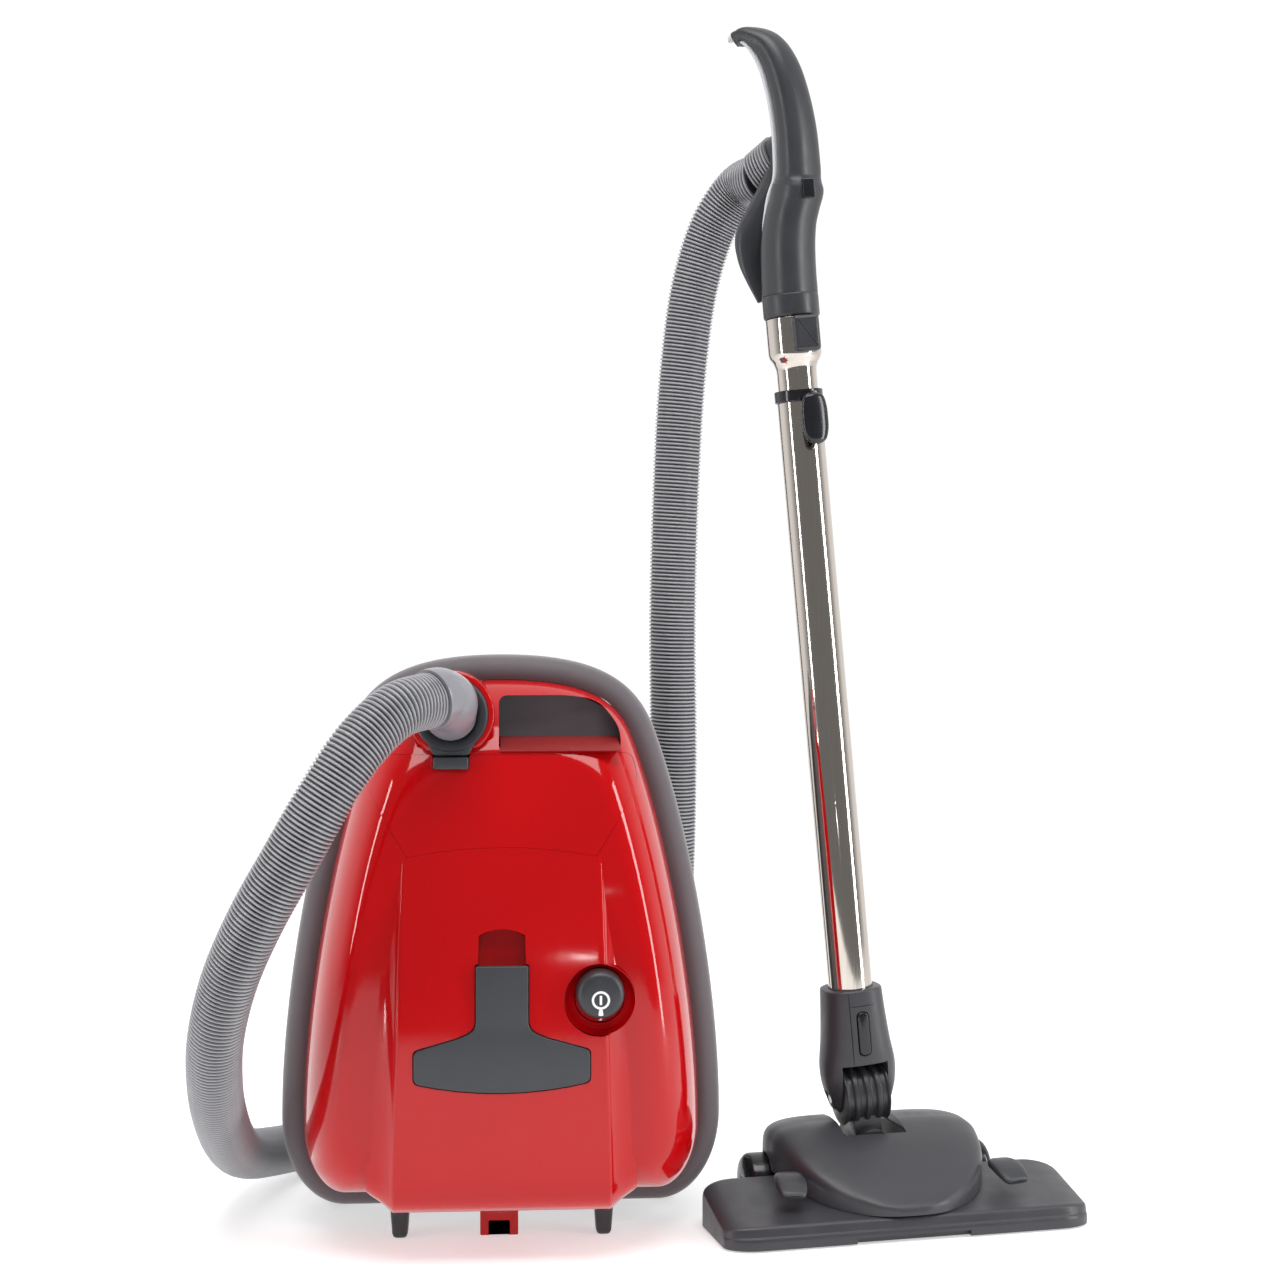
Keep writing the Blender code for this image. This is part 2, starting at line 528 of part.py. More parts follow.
caster_axis = empty("caster_axis", Matrix.Translation((0, caster_y, CASTER_Z)), canister)
caster_fork = add("caster_fork", turned("caster_fork", [
    (0, CASTER_BOSS + GAP), (0.0150, CASTER_BOSS + GAP), (0.0160, CASTER_BOSS + 0.0015),
    (0.0160, CASTER_BOSS + 0.0045), (0.0135, CASTER_BOSS + 0.0070), (0, CASTER_BOSS + 0.0070)],
    (0, 0, 0), (0, 1, 0), 24), "belly_grey", caster_axis)
for side in (-1, 1):
    cheek = cutter(add(f"caster_cheek_{side}_guide", box(
        "caster_cheek", (side * 0.0095 - 0.0015, CASTER_BOSS + 0.0055, -0.0060),
        (side * 0.0095 + 0.0015, CASTER_HUB + 0.0050, 0.0060), 0.001),
        None, caster_axis))
    boolean(caster_fork, "UNION", cheek)
    boolean(caster_fork, "DIFFERENCE", cutter(add(f"caster_bore_{side}_tool", turned(
        "caster_bore", [(0, side * 0.0095 - 0.003), (0.0019, side * 0.0095 - 0.003),
                        (0.0019, side * 0.0095 + 0.003), (0, side * 0.0095 + 0.003)],
        (0, CASTER_HUB, 0), (1, 0, 0), 12), None, caster_axis)))
caster_wheel_axis = empty("caster_wheel_axis", Matrix.Translation((0, CASTER_HUB, 0)), caster_axis)
add("caster_wheel", turned("caster_wheel", [
    (0.0020, -0.0070), (0.0085, -0.0070), (0.0100, -0.0055), (0.0100, 0.0055), (0.0085, 0.0070),
    (0.0020, 0.0070)],
    (0, 0, 0), (1, 0, 0), 20), "rubber", caster_wheel_axis)
add("caster_axle", turned("caster_axle", [(0, -0.0115), (0.0016, -0.0115), (0.0016, 0.0115), (0, 0.0115)],
                          (0, CASTER_HUB, 0), (1, 0, 0), 12), "steel", caster_axis)

for number, (x, z) in enumerate(((-0.055, 0.245), (0.055, 0.245)), 1):
    add(f"casing_screw_{number}", turned("casing_screw", [
        (0, 0.0), (0.0042, 0.0), (0.0042, 0.0012), (0.0030, 0.0022), (0.0012, 0.0022), (0.0010, 0.0012),
        (0, 0.0012)],
        (x, float(back_depth(z)) + GAP, z), (0, 1, 0), 14), "steel", canister)

# ---------------------------------------------------------------- inside the canister
bag_chamber = add("bag_chamber", box("bag_chamber", (-0.0760, -0.0240, 0.2020), (0.0760, 0.0500, 0.3340),
    0.006),
                  "belly_grey", canister)
boolean(bag_chamber, "DIFFERENCE", cutter(add("chamber_tool", box(
    "chamber", (-0.0740, -0.1500, 0.2040), (0.0740, 0.0480, 0.3320), 0.005), None, canister)))
add("dust_bag", swept("dust_bag", [(0, 0.0120, z) for z in (0.2080, 0.2160, 0.2500, 0.2900, 0.3200, 0.3280)],
                      [(0.045, 0.018), (0.065, 0.030), (0.071, 0.034), (0.071, 0.034), (0.064, 0.030),
                       (0.045, 0.018)], 20, 3.0), "paper", canister)
add("inlet_collar", turned("inlet_collar", [
    (INLET_BORE, 0.0280), (INLET_R, 0.0280), (INLET_R, 0.0860), (INLET_R - 0.0010, 0.0880),
    (INLET_BORE, 0.0880)],
    (INLET_X, 0, INLET_Z), (0, -1, 0), 32), "slate", canister)

add("pre_motor_filter", box("pre_motor_filter", (-0.0700, -0.0350, 0.1900), (0.0700, 0.0500, 0.1980), 0.001),
    "foam", canister)
motor_x, motor_y = -0.0400, 0.0150
add("motor_housing", turned("motor_housing", [
    (0.0480, 0.0750), (0.0510, 0.0750), (0.0540, 0.0800), (0.0540, 0.1350), (0.0500, 0.1700),
    (0.0300, 0.1820),
    (0.0300, 0.1790), (0.0480, 0.1660), (0.0510, 0.1350), (0.0510, 0.0820)],
    (motor_x, motor_y, 0), (0, 0, 1), 28), "charcoal", canister)
motor_axis = empty("motor_axis", Matrix.Translation((motor_x, motor_y, 0)), canister)
add("motor_rotor", turned("motor_rotor", [
    (0, 0.0690), (0.0035, 0.0690), (0.0035, 0.0850), (0.0210, 0.0850), (0.0210, 0.1250), (0.0050, 0.1250),
    (0.0050, 0.1400), (0.0440, 0.1420), (0.0420, 0.1560), (0.0100, 0.1600), (0, 0.1600)],
    (0, 0, 0), (0, 0, 1), 20), "copper", motor_axis)
reel_place = (0.0670, -0.0180, 0.1020)
reel_axis = empty("cord_reel_axis", Matrix.Translation((reel_place[0], 0, reel_place[2])), canister)
add("cord_reel", turned("cord_reel", [
    (0.0064, 0.0), (0.0440, 0.0), (0.0440, 0.0015), (0.0200, 0.0015), (0.0200, 0.0265), (0.0440, 0.0265),
    (0.0440, 0.0280), (0.0064, 0.0280)], (0, reel_place[1] - 0.014, 0), (0, 1, 0), 28), "charcoal", reel_axis)
add("cord_reel_spindle", turned("cord_reel_spindle", [
    (0, -0.0180), (0.0060, -0.0180), (0.0060, 0.0180), (0, 0.0180)], reel_place, (0, 1, 0), 16), "steel",
    canister)
add("cord_outlet", turned("cord_outlet", [
    (0.0045, 0.0), (0.0090, 0.0), (0.0090, 0.0030), (0.0070, 0.0110), (0.0045, 0.0110)],
    (0.0350, float(BACK_DEPTH) + GAP, 0.0900), (0, 1, 0), 20), "rubber", canister)
add("exhaust_filter", box("exhaust_filter", (-0.0500, -0.1100, 0.1200), (0.0500, -0.0860, 0.1500), 0.001),
    "foam", canister)
add("control_board", box("control_board", (KNOB_X - 0.0170, -0.0835, KNOB_Z - 0.0300),
                         (KNOB_X + 0.0170, -0.0819, KNOB_Z + 0.0180)), "board", canister)

knob_axis = empty("power_knob_axis", Matrix.Translation((KNOB_X, 0, KNOB_Z)), canister)
add("power_knob", turned("power_knob", [
    (0, 0.0964), (0.0038, 0.0964), (0.0038, 0.1040), (KNOB_R - 0.001, 0.1040), (KNOB_R, 0.1052),
    (KNOB_R - 0.0006, 0.1210), (KNOB_R - 0.0024, 0.1235), (0.0060, 0.1242), (0, 0.1242)],
    (0, 0, 0), (0, -1, 0), 28), "slate", knob_axis)

# ---------------------------------------------------------------- elbow and hose
hose_line = smooth_line(HOSE_ROUTE, HOSE_D * 1.25)
hose_start, hose_end = Vector(hose_line[0]), Vector(hose_line[-1])
start_way = (Vector(hose_line[1]) - hose_start).normalized()
end_way = (hose_end - Vector(hose_line[-2])).normalized()
inlet = Vector((CANISTER_X + INLET_X, 0, INLET_Z))
elbow_axis = empty("hose_elbow_axis", Matrix.Translation(inlet), whole)
mouth = hose_start - inlet - start_way * GAP
elbow_path = [Vector((0, -0.0310, 0)), Vector((0, -0.0550, 0)), Vector((0, -0.0870, 0)),
              Vector((-0.0004, -0.0960, 0.0017)), mouth - start_way * 0.0225 + Vector((-0.0045, 0, -0.0060)),
              mouth - start_way * 0.0110 + Vector((-0.0012, 0, -0.0012)), mouth - start_way * 0.0045, mouth]
elbow_sizes = [(r, r) for r in (0.0208, 0.0216, 0.0214, 0.0207, 0.0202, 0.0200, 0.0198, 0.0196)]
add("hose_elbow", swept("hose_elbow", elbow_path, elbow_sizes, 24), "pale_grey", elbow_axis)

curve = bpy.data.curves.new("hose", "CURVE")
curve.dimensions = "3D"
curve.bevel_depth = HOSE_D / 2
curve.bevel_resolution = 3
curve.use_fill_caps = True
curve.resolution_u = 1
spline = curve.splines.new("POLY")
spline.points.add(len(hose_line) - 1)
for point, place in zip(spline.points, hose_line):
    point.co = (*place, 1.0)
hose = bpy.data.objects.new("hose", curve)
hose.data.materials.append(material("hose_grey"))
hose.parent = whole
bpy.context.scene.collection.objects.link(hose)

# ---------------------------------------------------------------- floor head
head_place = Matrix.Translation((HEAD_X, HEAD_Y, 0)) @ Matrix.Rotation(HEAD_YAW, 4, "Z")
head = empty("head_frame", head_place, whole)


def plate_top(y):
    return PLATE_FRONT + (PLATE_REAR - PLATE_FRONT) * (y + PLATE_D / 2) / PLATE_D


def plate_crest(y):
    """Height of the plate's flat top under the hood, level behind the plate."""
    return float(np.interp(y, [-PLATE_D / 2 + 0.009, PLATE_D / 2 - 0.004],
        [PLATE_FRONT + 0.0005, PLATE_REAR]))


def plate_rings(thinner, low):
    """Sections of the head's low housing from its left end to its right end."""
    half, deep = PLATE_W / 2 - thinner, PLATE_D / 2 - thinner
    rings = []
    for x, pull, drop in ((-half, 0.012, 0.008), (-half + 0.004, 0.005, 0.003), (-half + 0.014, 0.0, 0.0),
                          (half - 0.014, 0.0, 0.0), (half - 0.004, 0.005, 0.003), (half, 0.012, 0.008)):
        front, back = -deep + pull, deep - pull * 1.6
        rings.append([(x, front, low), (x, back, low), (x, back, plate_top(deep) - drop - thinner - 0.005),
                      (x, back - 0.004, plate_top(deep) - drop - thinner),
                      (x, front + 0.009, plate_top(-deep) - drop * 0.4 - thinner + 0.0005),
                      (x, front + 0.002, plate_top(-deep) - drop * 0.4 - thinner - 0.0025),
                      (x, front, plate_top(-deep) - 0.0070 - drop * 0.4 - thinner)])
    return rings


head_plate = add("head_plate", loft("head_plate", plate_rings(0.0, 0.0012)), "charcoal", head)
boolean(head_plate, "DIFFERENCE", cutter(add("plate_hollow_tool", loft("plate_hollow", plate_rings(WALL,
    -0.01)),
                                             None, head)))
boolean(head_plate, "DIFFERENCE", cutter(add("plate_notch_tool", box(
    "plate_notch", (-0.0420, -0.0500, -0.0100), (0.0400, -0.0360, 0.0050)), None, head)))
boolean(head_plate, "DIFFERENCE", cutter(add("duct_hole_tool", box(
    "duct_hole", (-0.0200, 0.0100, 0.0080), (0.0200, 0.0330, 0.0400)), None, head)))

sole = add("sole_plate", box("sole_plate", (-0.1150, -0.0250, 0.0), (0.1150, 0.0250, 0.0022)), "steel", head)
boolean(sole, "DIFFERENCE", cutter(add("mouth_tool", box(
    "mouth", (-0.0950, -0.0070, -0.01), (0.0950, 0.0070, 0.01)), None, head)))
for word, y in (("front", -0.0325), ("rear", 0.0300)):
    add(f"brush_strip_{word}", box("brush_strip", (-0.1050, y - 0.0018, 0.0040),
        (0.1050, y + 0.0018, 0.0115)),
        "bristle", head)

hood_stations = [(-0.0385, 0.020, 0.0235), (-0.0340, 0.034, 0.0275), (-0.0220, 0.052, 0.0330),
                 (-0.0050, 0.066, 0.0440), (0.0150, 0.074, 0.0550), (0.0350, 0.077, 0.0630),
                 (0.0600, 0.077, 0.0645), (0.0760, 0.072, 0.0600), (0.0800, 0.068, 0.0540)]


def hood_rings():
    rings = []
    for y, half, top in hood_stations:
        base = plate_crest(y) + GAP + 0.0002
        ring = [(-half, y, base), (half, y, base)]
        for a in np.linspace(0, math.pi, 11):
            u, v = math.cos(a), math.sin(a)
            ring.append((math.copysign(abs(u) ** 0.55, u) * half, y,
                base + 0.001 + (top - base - 0.001) * v ** 0.55))
        rings.append(ring)
    return rings


hood = add("head_hood", loft("head_hood", hood_rings()), "charcoal", head)
boolean(hood, "DIFFERENCE", cutter(add("neck_slot_tool", box(
    "neck_slot", (NECK_X - 0.0230, 0.0225, 0.0345), (NECK_X + 0.0230, 0.0900, 0.1000)), None, head)))
for side in (-1, 1):
    boolean(hood, "DIFFERENCE", cutter(add(f"roller_well_{side}_tool", turned("roller_well", [
        (0, ROLLER_X - ROLLER_W / 2 - 0.0015), (ROLLER_R + 0.0020, ROLLER_X - ROLLER_W / 2 - 0.0015),
        (ROLLER_R + 0.0020, 0.13), (0, 0.13)], (0, ROLLER_Y, ROLLER_R), (side, 0, 0), 24), None, head)))

add("roller_carrier", box("roller_carrier", (-0.0620, PLATE_D / 2 + GAP, 0.0090),
    (0.0620, 0.0760, 0.0290), 0.002),
    "charcoal", head)
for side, word in ((-1, "left"), (1, "right")):
    roller_hub = empty(f"head_roller_{word}_axis",
        Matrix.Translation((side * ROLLER_X, ROLLER_Y, ROLLER_R)), head)
    half = ROLLER_W / 2
    add(f"head_roller_{word}", turned("head_roller", [
        (0.0034, -half), (ROLLER_R - 0.003, -half), (ROLLER_R, -half + 0.003), (ROLLER_R, half - 0.004),
        (ROLLER_R - 0.003, half), (0.006, half + 0.001), (0.0034, half)], (0, 0, 0), (side, 0, 0), 28),
        "black", roller_hub)
    add(f"roller_axle_{word}", turned("roller_axle", [
        (0, -ROLLER_X + 0.0620 + GAP), (0.0030, -ROLLER_X + 0.0620 + GAP), (0.0030, half - 0.001),
        (0, half - 0.001)],
        (side * ROLLER_X, ROLLER_Y, ROLLER_R), (side, 0, 0), 14), "steel", head)
    pivot = (side * 0.0600, -0.0020, plate_top(0.0) + 0.0060)
    pedal_axis = empty(f"pedal_{word}_axis", Matrix.Translation(pivot), head)
    out = side * 0.0180
    add(f"pedal_{word}", swept(f"pedal_{word}", [
        (out, 0.0060, 0.0080), (out * 1.05, 0.0, 0.0085), (out * 1.12, -0.0120, 0.0060),
        (out * 1.18, -0.0220, 0.0015)],
        [(0.0080, 0.0030), (0.0100, 0.0036), (0.0105, 0.0034), (0.0080, 0.0024)], 14, 3.0), "charcoal",
        pedal_axis)

# ---------------------------------------------------------------- neck and wand
neck_place = head_place @ Matrix.Translation((NECK_X, NECK_Y, ROLL_Z)) @ Matrix.Rotation(-LEAN, 4, "Y")
neck_axis = empty("neck_axis", neck_place, whole)
RISE = TILT_Z - ROLL_Z
neck_drum = add("neck_drum", turned("neck_drum", [
    (0, -0.0165), (0.0205, -0.0165), (0.0215, -0.0155), (0.0215, 0.0155), (0.0205, 0.0165), (0, 0.0165)],
    (0, 0, RISE), (1, 0, 0), 28), "charcoal", neck_axis)
boolean(neck_drum, "UNION", cutter(add("neck_stem_guide", box(
    "neck_stem", (-0.0100, -0.0130, 0.0020), (0.0100, 0.0130, RISE - 0.004), 0.002), None, neck_axis)))
boolean(neck_drum, "UNION", cutter(add("neck_spindle_guide", turned(
    "neck_spindle", [(0, -0.0220), (0.0110, -0.0220), (0.0110, 0.0220), (0, 0.0220)], (0, 0, 0),
    (0, 1, 0), 20),
    None, neck_axis)))
boolean(neck_drum, "DIFFERENCE", cutter(add("drum_bore_tool", turned(
    "drum_bore", [(0, -0.02), (0.0050 + RUN, -0.02), (0.0050 + RUN, 0.02), (0, 0.02)], (0, 0, RISE),
    (1, 0, 0), 16),
    None, neck_axis)))

wand_place = neck_place @ Matrix.Translation((0, 0, RISE))
wand = empty("wand_frame", wand_place, whole)
fork_sections = [(-0.0125, 0.0180, 0.0060), (-0.0060, 0.0225, 0.0115), (0.0080, 0.0262, 0.0170),
    (0.0220, 0.0270, 0.0205),
                 (0.0400, 0.0240, 0.0215), (0.0600, 0.0222, 0.0215), (0.0740, 0.0212, 0.0212),
                 (0.0765, 0.0198, 0.0198)]
fork = add("neck_fork", swept("neck_fork", [(0, 0, s) for s, _, _ in fork_sections],
                              [(w, d) for _, w, d in fork_sections], 24, 2.6), "charcoal", wand)
boolean(fork, "DIFFERENCE", cutter(add("fork_gap_tool", box(
    "fork_gap", (-0.0170, -0.0300, -0.0300), (0.0170, 0.0300, 0.0235)), None, wand)))
boolean(fork, "DIFFERENCE", cutter(add("fork_bore_tool", turned(
    "fork_bore", [(0, 0.0180), (TUBE_R + GAP, 0.0180), (TUBE_R + GAP, 0.09), (0, 0.09)], (0, 0, 0),
    (0, 0, 1), 24),
    None, wand)))
boolean(fork, "DIFFERENCE", cutter(add("fork_pin_tool", turned(
    "fork_pin_hole", [(0, -0.04), (0.0050 + GAP, -0.04), (0.0050 + GAP, 0.04), (0, 0.04)], (0, 0, 0),
    (1, 0, 0), 16),
    None, wand)))
add("tilt_pin", turned("tilt_pin", [(0, -0.0225), (0.0050, -0.0225), (0.0050, 0.0225), (0, 0.0225)],
                       (0, 0, 0), (1, 0, 0), 16), "steel", wand)
boolean(fork, "DIFFERENCE", cutter(add("latch_slot_tool", box(
    "latch_slot", (-0.0048, -0.0300, 0.0300), (0.0048, -TUBE_R - 0.0005, 0.0620)), None, wand)))
add("neck_latch", box("neck_latch", (-0.0042, -0.0222, 0.0306), (0.0042, -TUBE_R - 0.0035, 0.0614), 0.0010),
    "black", wand)

add("lower_tube", turned("lower_tube", [
    (TUBE_R - TUBE_WALL, 0.0260), (TUBE_R, 0.0260), (TUBE_R, TUBE_TOP - 0.001), (TUBE_R - 0.0005, TUBE_TOP),
    (TUBE_R - TUBE_WALL, TUBE_TOP)], (0, 0, 0), (0, 0, 1), 28), "chrome", wand)
BUTTON_TURN = math.radians(-82)
button_way = Vector((math.cos(BUTTON_TURN), math.sin(BUTTON_TURN), 0))
button_side = Vector((-button_way.y, button_way.x, 0))
button_root = TUBE_R + 0.0022
add("telescope_button", swept("telescope_button", [
    button_way * (button_root + 0.0042) + Vector((0, 0, s)) for s in
    (TUBE_TOP - 0.0370, TUBE_TOP - 0.0345, TUBE_TOP - 0.0260, TUBE_TOP - 0.0120, TUBE_TOP - 0.0040,
    TUBE_TOP - 0.0012)],
    [(0.0035, 0.0022), (0.0078, 0.0038), (0.0098, 0.0041), (0.0098, 0.0041), (0.0078, 0.0038),
    (0.0035, 0.0022)],
    16, 2.4, button_side), "black", wand)

upper_wand = empty("upper_wand_frame", wand_place, whole)
add("upper_tube", turned("upper_tube", [
    (INNER_R - 0.0010, 0.1000), (INNER_R, 0.1000), (INNER_R, SOCKET_BOTTOM - 0.008),
    (SOCKET_R - 0.0010, SOCKET_BOTTOM),
    (SOCKET_R, SOCKET_BOTTOM + 0.003), (SOCKET_R, SOCKET_TOP), (SOCKET_R - 0.0012, SOCKET_TOP),
    (SOCKET_R - 0.0012, SOCKET_BOTTOM + 0.0035), (INNER_R - 0.0010, SOCKET_BOTTOM - 0.006)],
    (0, 0, 0), (0, 0, 1), 28), "chrome", upper_wand)
spigot_r = (SOCKET_R - 0.0012 - GAP) / 1.08
grip_points = [(0.0, 0.0, SOCKET_BOTTOM + 0.0060), (0.0, 0.0, SOCKET_TOP + GAP),
    (0.0, 0.0, SOCKET_TOP + 0.0006),
               (0.0, 0.0, SOCKET_TOP + 0.0160), (0.0, 0.0, SOCKET_TOP + 0.0165), (0.0005, 0.0, 0.5850),
               (0.0015, -0.001, 0.6050), (0.0040, -0.003, 0.6220), (0.0085, -0.006, 0.6360),
               (0.0110, -0.008, 0.6480),
               (0.0122, -0.009, 0.6600), (0.0125, -0.009, 0.6850), (0.0105, -0.008, 0.7100),
               (0.0060, -0.006, 0.7320),
               (-0.0010, -0.002, 0.7470), (-0.0110, 0.004, 0.7545), (-0.0215, 0.010, 0.7530)]
grip_sizes = [(spigot_r, spigot_r), (spigot_r, spigot_r), (0.0196, 0.0196), (0.0200, 0.0200),
    (0.0186, 0.0190),
              (0.0180, 0.0185), (0.0178, 0.0180), (0.0172, 0.0172), (0.0166, 0.0160), (0.0165, 0.0155),
              (0.0160, 0.0120), (0.0152, 0.0112), (0.0142, 0.0105), (0.0132, 0.0098), (0.0118, 0.0088),
              (0.0100, 0.0070), (0.0070, 0.0040)]
grip_across = Vector((0.90, 0.43, 0.0))
add("handle_grip", swept("handle_grip", grip_points, grip_sizes, 20, 2.5, grip_across), "charcoal",
    upper_wand)
wand_inverse = wand_place.inverted()
cuff_end = wand_inverse @ (hose_end + end_way * GAP)
cuff_way = (wand_inverse.to_3x3() @ end_way).normalized()
cuff_root = cuff_end + cuff_way * 0.0215
cuff_axis = empty("hose_cuff_axis", Matrix.Translation(cuff_root), upper_wand)
add("hose_cuff", swept("hose_cuff", [-cuff_way * s for s in (0.0, 0.0020, 0.0190, 0.0215)],
                       [(0.0192, 0.0192), (0.0205, 0.0205), (0.0208, 0.0208), (0.0198, 0.0198)], 24),
                       "charcoal",
    cuff_axis)
stub_top = cuff_root + cuff_way * GAP
hose_stub = add("hose_stub", swept("hose_stub", [
    Vector((-0.0080, 0.0245, 0.5730)), Vector((-0.0105, 0.0275, 0.5900)), Vector((-0.0140, 0.0290, 0.6080)),
    Vector((-0.0130, 0.0300, 0.6280)), Vector((-0.0020, 0.0275, 0.6490)), Vector((0.0115, 0.0228, 0.6670)),
    Vector((0.0140, 0.0215, 0.6800))],
    [(0.0090, 0.0022), (0.0115, 0.0042), (0.0140, 0.0075), (0.0160, 0.0100), (0.0160, 0.0120), (0.0165, 0.0130),
     (0.0120, 0.0090)], 20, 2.2), "charcoal", upper_wand)
boolean(hose_stub, "UNION", cutter(add("stub_socket_guide", turned(
    "stub_socket", [(0, 0.0), (0.0175, 0.0), (0.0180, 0.0020), (0.0180, 0.0140), (0.0150, 0.0170),
    (0, 0.0170)],
    stub_top, cuff_way, 24), None, upper_wand)))
boolean(hose_stub, "DIFFERENCE", cutter(add("cuff_clear_tool", turned(
    "cuff_clear", [(0, -0.0450), (0.0217, -0.0450), (0.0217, 0.0), (0, 0.0)], stub_top, cuff_way, 24), None,
    upper_wand)))
add("grip_inlay", swept("grip_inlay", [
    Vector(p) + Vector((-0.0035, 0.0, 0.0)) + Vector((-0.43, 0.90, 0.0)) * (t + 0.0031)
    for p, (w, t) in list(zip(grip_points, grip_sizes))[10:15]],
    [(0.0060, 0.0010), (0.0075, 0.0012), (0.0070, 0.0012), (0.0065, 0.0012), (0.0050, 0.0010)], 12, 3.0,
    grip_across),
    "pale_grey", upper_wand)
add("airflow_slider", box("airflow_slider", (0.0075, -0.0278, 0.6340), (0.0165, -0.0256, 0.6480), 0.0008),
    "slate", upper_wand)
add("handle_release", box("handle_release", (-0.0050, -0.0240, SOCKET_TOP - 0.0230),
                          (0.0090, -SOCKET_R - 0.0006, SOCKET_TOP - 0.0020), 0.0016), "charcoal", upper_wand)
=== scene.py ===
# Canister vacuum cleaner parked upright beside its wand and floor head: the looks over the CAD frame.
import json
import math

import bmesh
import bpy
import numpy as np
from mathutils import Matrix, Vector


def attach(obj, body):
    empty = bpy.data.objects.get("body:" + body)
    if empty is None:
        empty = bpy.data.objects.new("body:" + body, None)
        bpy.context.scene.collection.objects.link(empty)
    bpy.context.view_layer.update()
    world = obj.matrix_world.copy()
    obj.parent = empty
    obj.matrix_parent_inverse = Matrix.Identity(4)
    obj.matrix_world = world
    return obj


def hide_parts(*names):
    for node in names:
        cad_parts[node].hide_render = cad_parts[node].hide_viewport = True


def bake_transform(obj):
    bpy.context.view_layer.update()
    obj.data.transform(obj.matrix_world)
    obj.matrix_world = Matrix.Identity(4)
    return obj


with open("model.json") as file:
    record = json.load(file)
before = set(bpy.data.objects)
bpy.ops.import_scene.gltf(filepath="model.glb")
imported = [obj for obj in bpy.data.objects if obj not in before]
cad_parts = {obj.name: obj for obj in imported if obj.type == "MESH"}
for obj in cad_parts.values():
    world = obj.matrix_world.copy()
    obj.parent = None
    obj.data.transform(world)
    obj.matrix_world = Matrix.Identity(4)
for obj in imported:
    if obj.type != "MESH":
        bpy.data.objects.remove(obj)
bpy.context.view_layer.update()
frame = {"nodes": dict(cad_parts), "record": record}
nodes = frame["nodes"]

# Places of the units in the frame, in metres.
middle = Matrix.Translation((0.0053, 0.0170, 0.0))
canisterPlace = middle @ Matrix.Translation((-0.1330, 0.0, 0.0))
headPlace = middle @ Matrix.Translation((0.1400, -0.0310, 0.0)) @ Matrix.Rotation(math.radians(10.0), 4, "Z")
neckPlace = headPlace @ Matrix.Translation((-0.0060, 0.0480,
    0.0500)) @ Matrix.Rotation(math.radians(-5.3), 4, "Y")
wandPlace = neckPlace @ Matrix.Translation((0.0, 0.0, 0.0330))

# Camera: a little above the canister's top, looking level.
cameraLook = {"from": (-0.1277, -1.4330, 0.4200), "at": (-0.0307, 0.0170, 0.4070), "lens": 58.1, "film": 36.0}
camera = bpy.data.objects.new("camera", bpy.data.cameras.new("camera"))
camera.data.lens = cameraLook["lens"]
camera.data.sensor_width = cameraLook["film"]
camera.location = cameraLook["from"]
camera.rotation_euler = (Vector(cameraLook["at"]) - Vector(cameraLook["from"])).to_track_quat("-Z",
    "Y").to_euler()
bpy.context.scene.collection.objects.link(camera)
bpy.context.scene.camera = camera
bpy.context.scene.view_settings.view_transform = "Standard"


# Mesh tools

def placed(points, matrix):
    # points through a 4 by 4 matrix: rotation part times point, plus shift
    m = np.array(matrix)
    return np.asarray(points, float) @ m[:3, :3].T + m[:3, 3]


def smoothKeys(keys, count):
    # Catmull-Rom curve through rows of keys, sampled evenly over the keys
    k = np.asarray(keys, float)
    k = np.vstack([2 * k[0] - k[1], k, 2 * k[-1] - k[-2]])
    u = np.linspace(0, len(k) - 3, count)
    i = np.minimum(u.astype(int), len(k) - 4)
    t = (u - i)[:, None]
    a, b, c, d = k[i], k[i + 1], k[i + 2], k[i + 3]
    return 0.5 * (2 * b + (c - a) * t + (2 * a - 5 * b + 4 * c - d) * t ** 2
                  + (3 * b - a - 3 * c + d) * t ** 3)


def ringSkin(rings, loop=False, ends="pole"):
    # rings of equal count joined by quads; the ends close on a pole or with one flat face
    rings = np.asarray(rings, float)
    rows, cols = rings.shape[:2]
    steps = rows if loop else rows - 1
    r = np.arange(steps)[:, None]
    c = np.arange(cols)[None, :]
    nextCol = (c + 1) % cols
    nextRow = (r + 1) % rows
    quads = np.stack([r * cols + c, r * cols + nextCol, nextRow * cols + nextCol, nextRow * cols + c], -1)
    points = rings.reshape(-1, 3)
    faces = quads.reshape(-1, 4).tolist()
    if loop:
        return points, faces
    last = (rows - 1) * cols
    if ends == "flat":
        return points, faces + [list(range(cols))[::-1], list(range(last, last + cols))]
    points = np.vstack([points, rings[0].mean(0), rings[-1].mean(0)])
    low, high = rows * cols, rows * cols + 1
    around = np.arange(cols)
    after = (around + 1) % cols
    faces += np.stack([after, around, np.full(cols, low)], -1).tolist()
    faces += np.stack([last + around, last + after, np.full(cols, high)], -1).tolist()
    return points, faces


def turned(profile, origin=(0, 0, 0), axis=(0, 0, 1), sides=64):
    # (radius, height) points turned about an axis through an origin; the section closes on itself when its
    # first point is off the axis
    profile = np.asarray(profile, float)
    z = Vector(axis).normalized()
    x = z.orthogonal().normalized()
    y = z.cross(x)
    angle = np.linspace(0, 2 * np.pi, sides, endpoint=False)
    around = np.cos(angle)[:, None] * np.array(x) + np.sin(angle)[:, None] * np.array(y)
    ring = profile[0, 0] > 0
    body = profile if ring else profile[1:-1]
    rings = np.array(origin) + body[:, None, :1] * around + body[:, None, 1:] * np.array(z)
    if ring:
        return ringSkin(rings, loop=True)
    points, faces = ringSkin(rings)
    points[-2] = np.array(origin) + profile[0, 1] * np.array(z)
    points[-1] = np.array(origin) + profile[-1, 1] * np.array(z)
    return points, faces


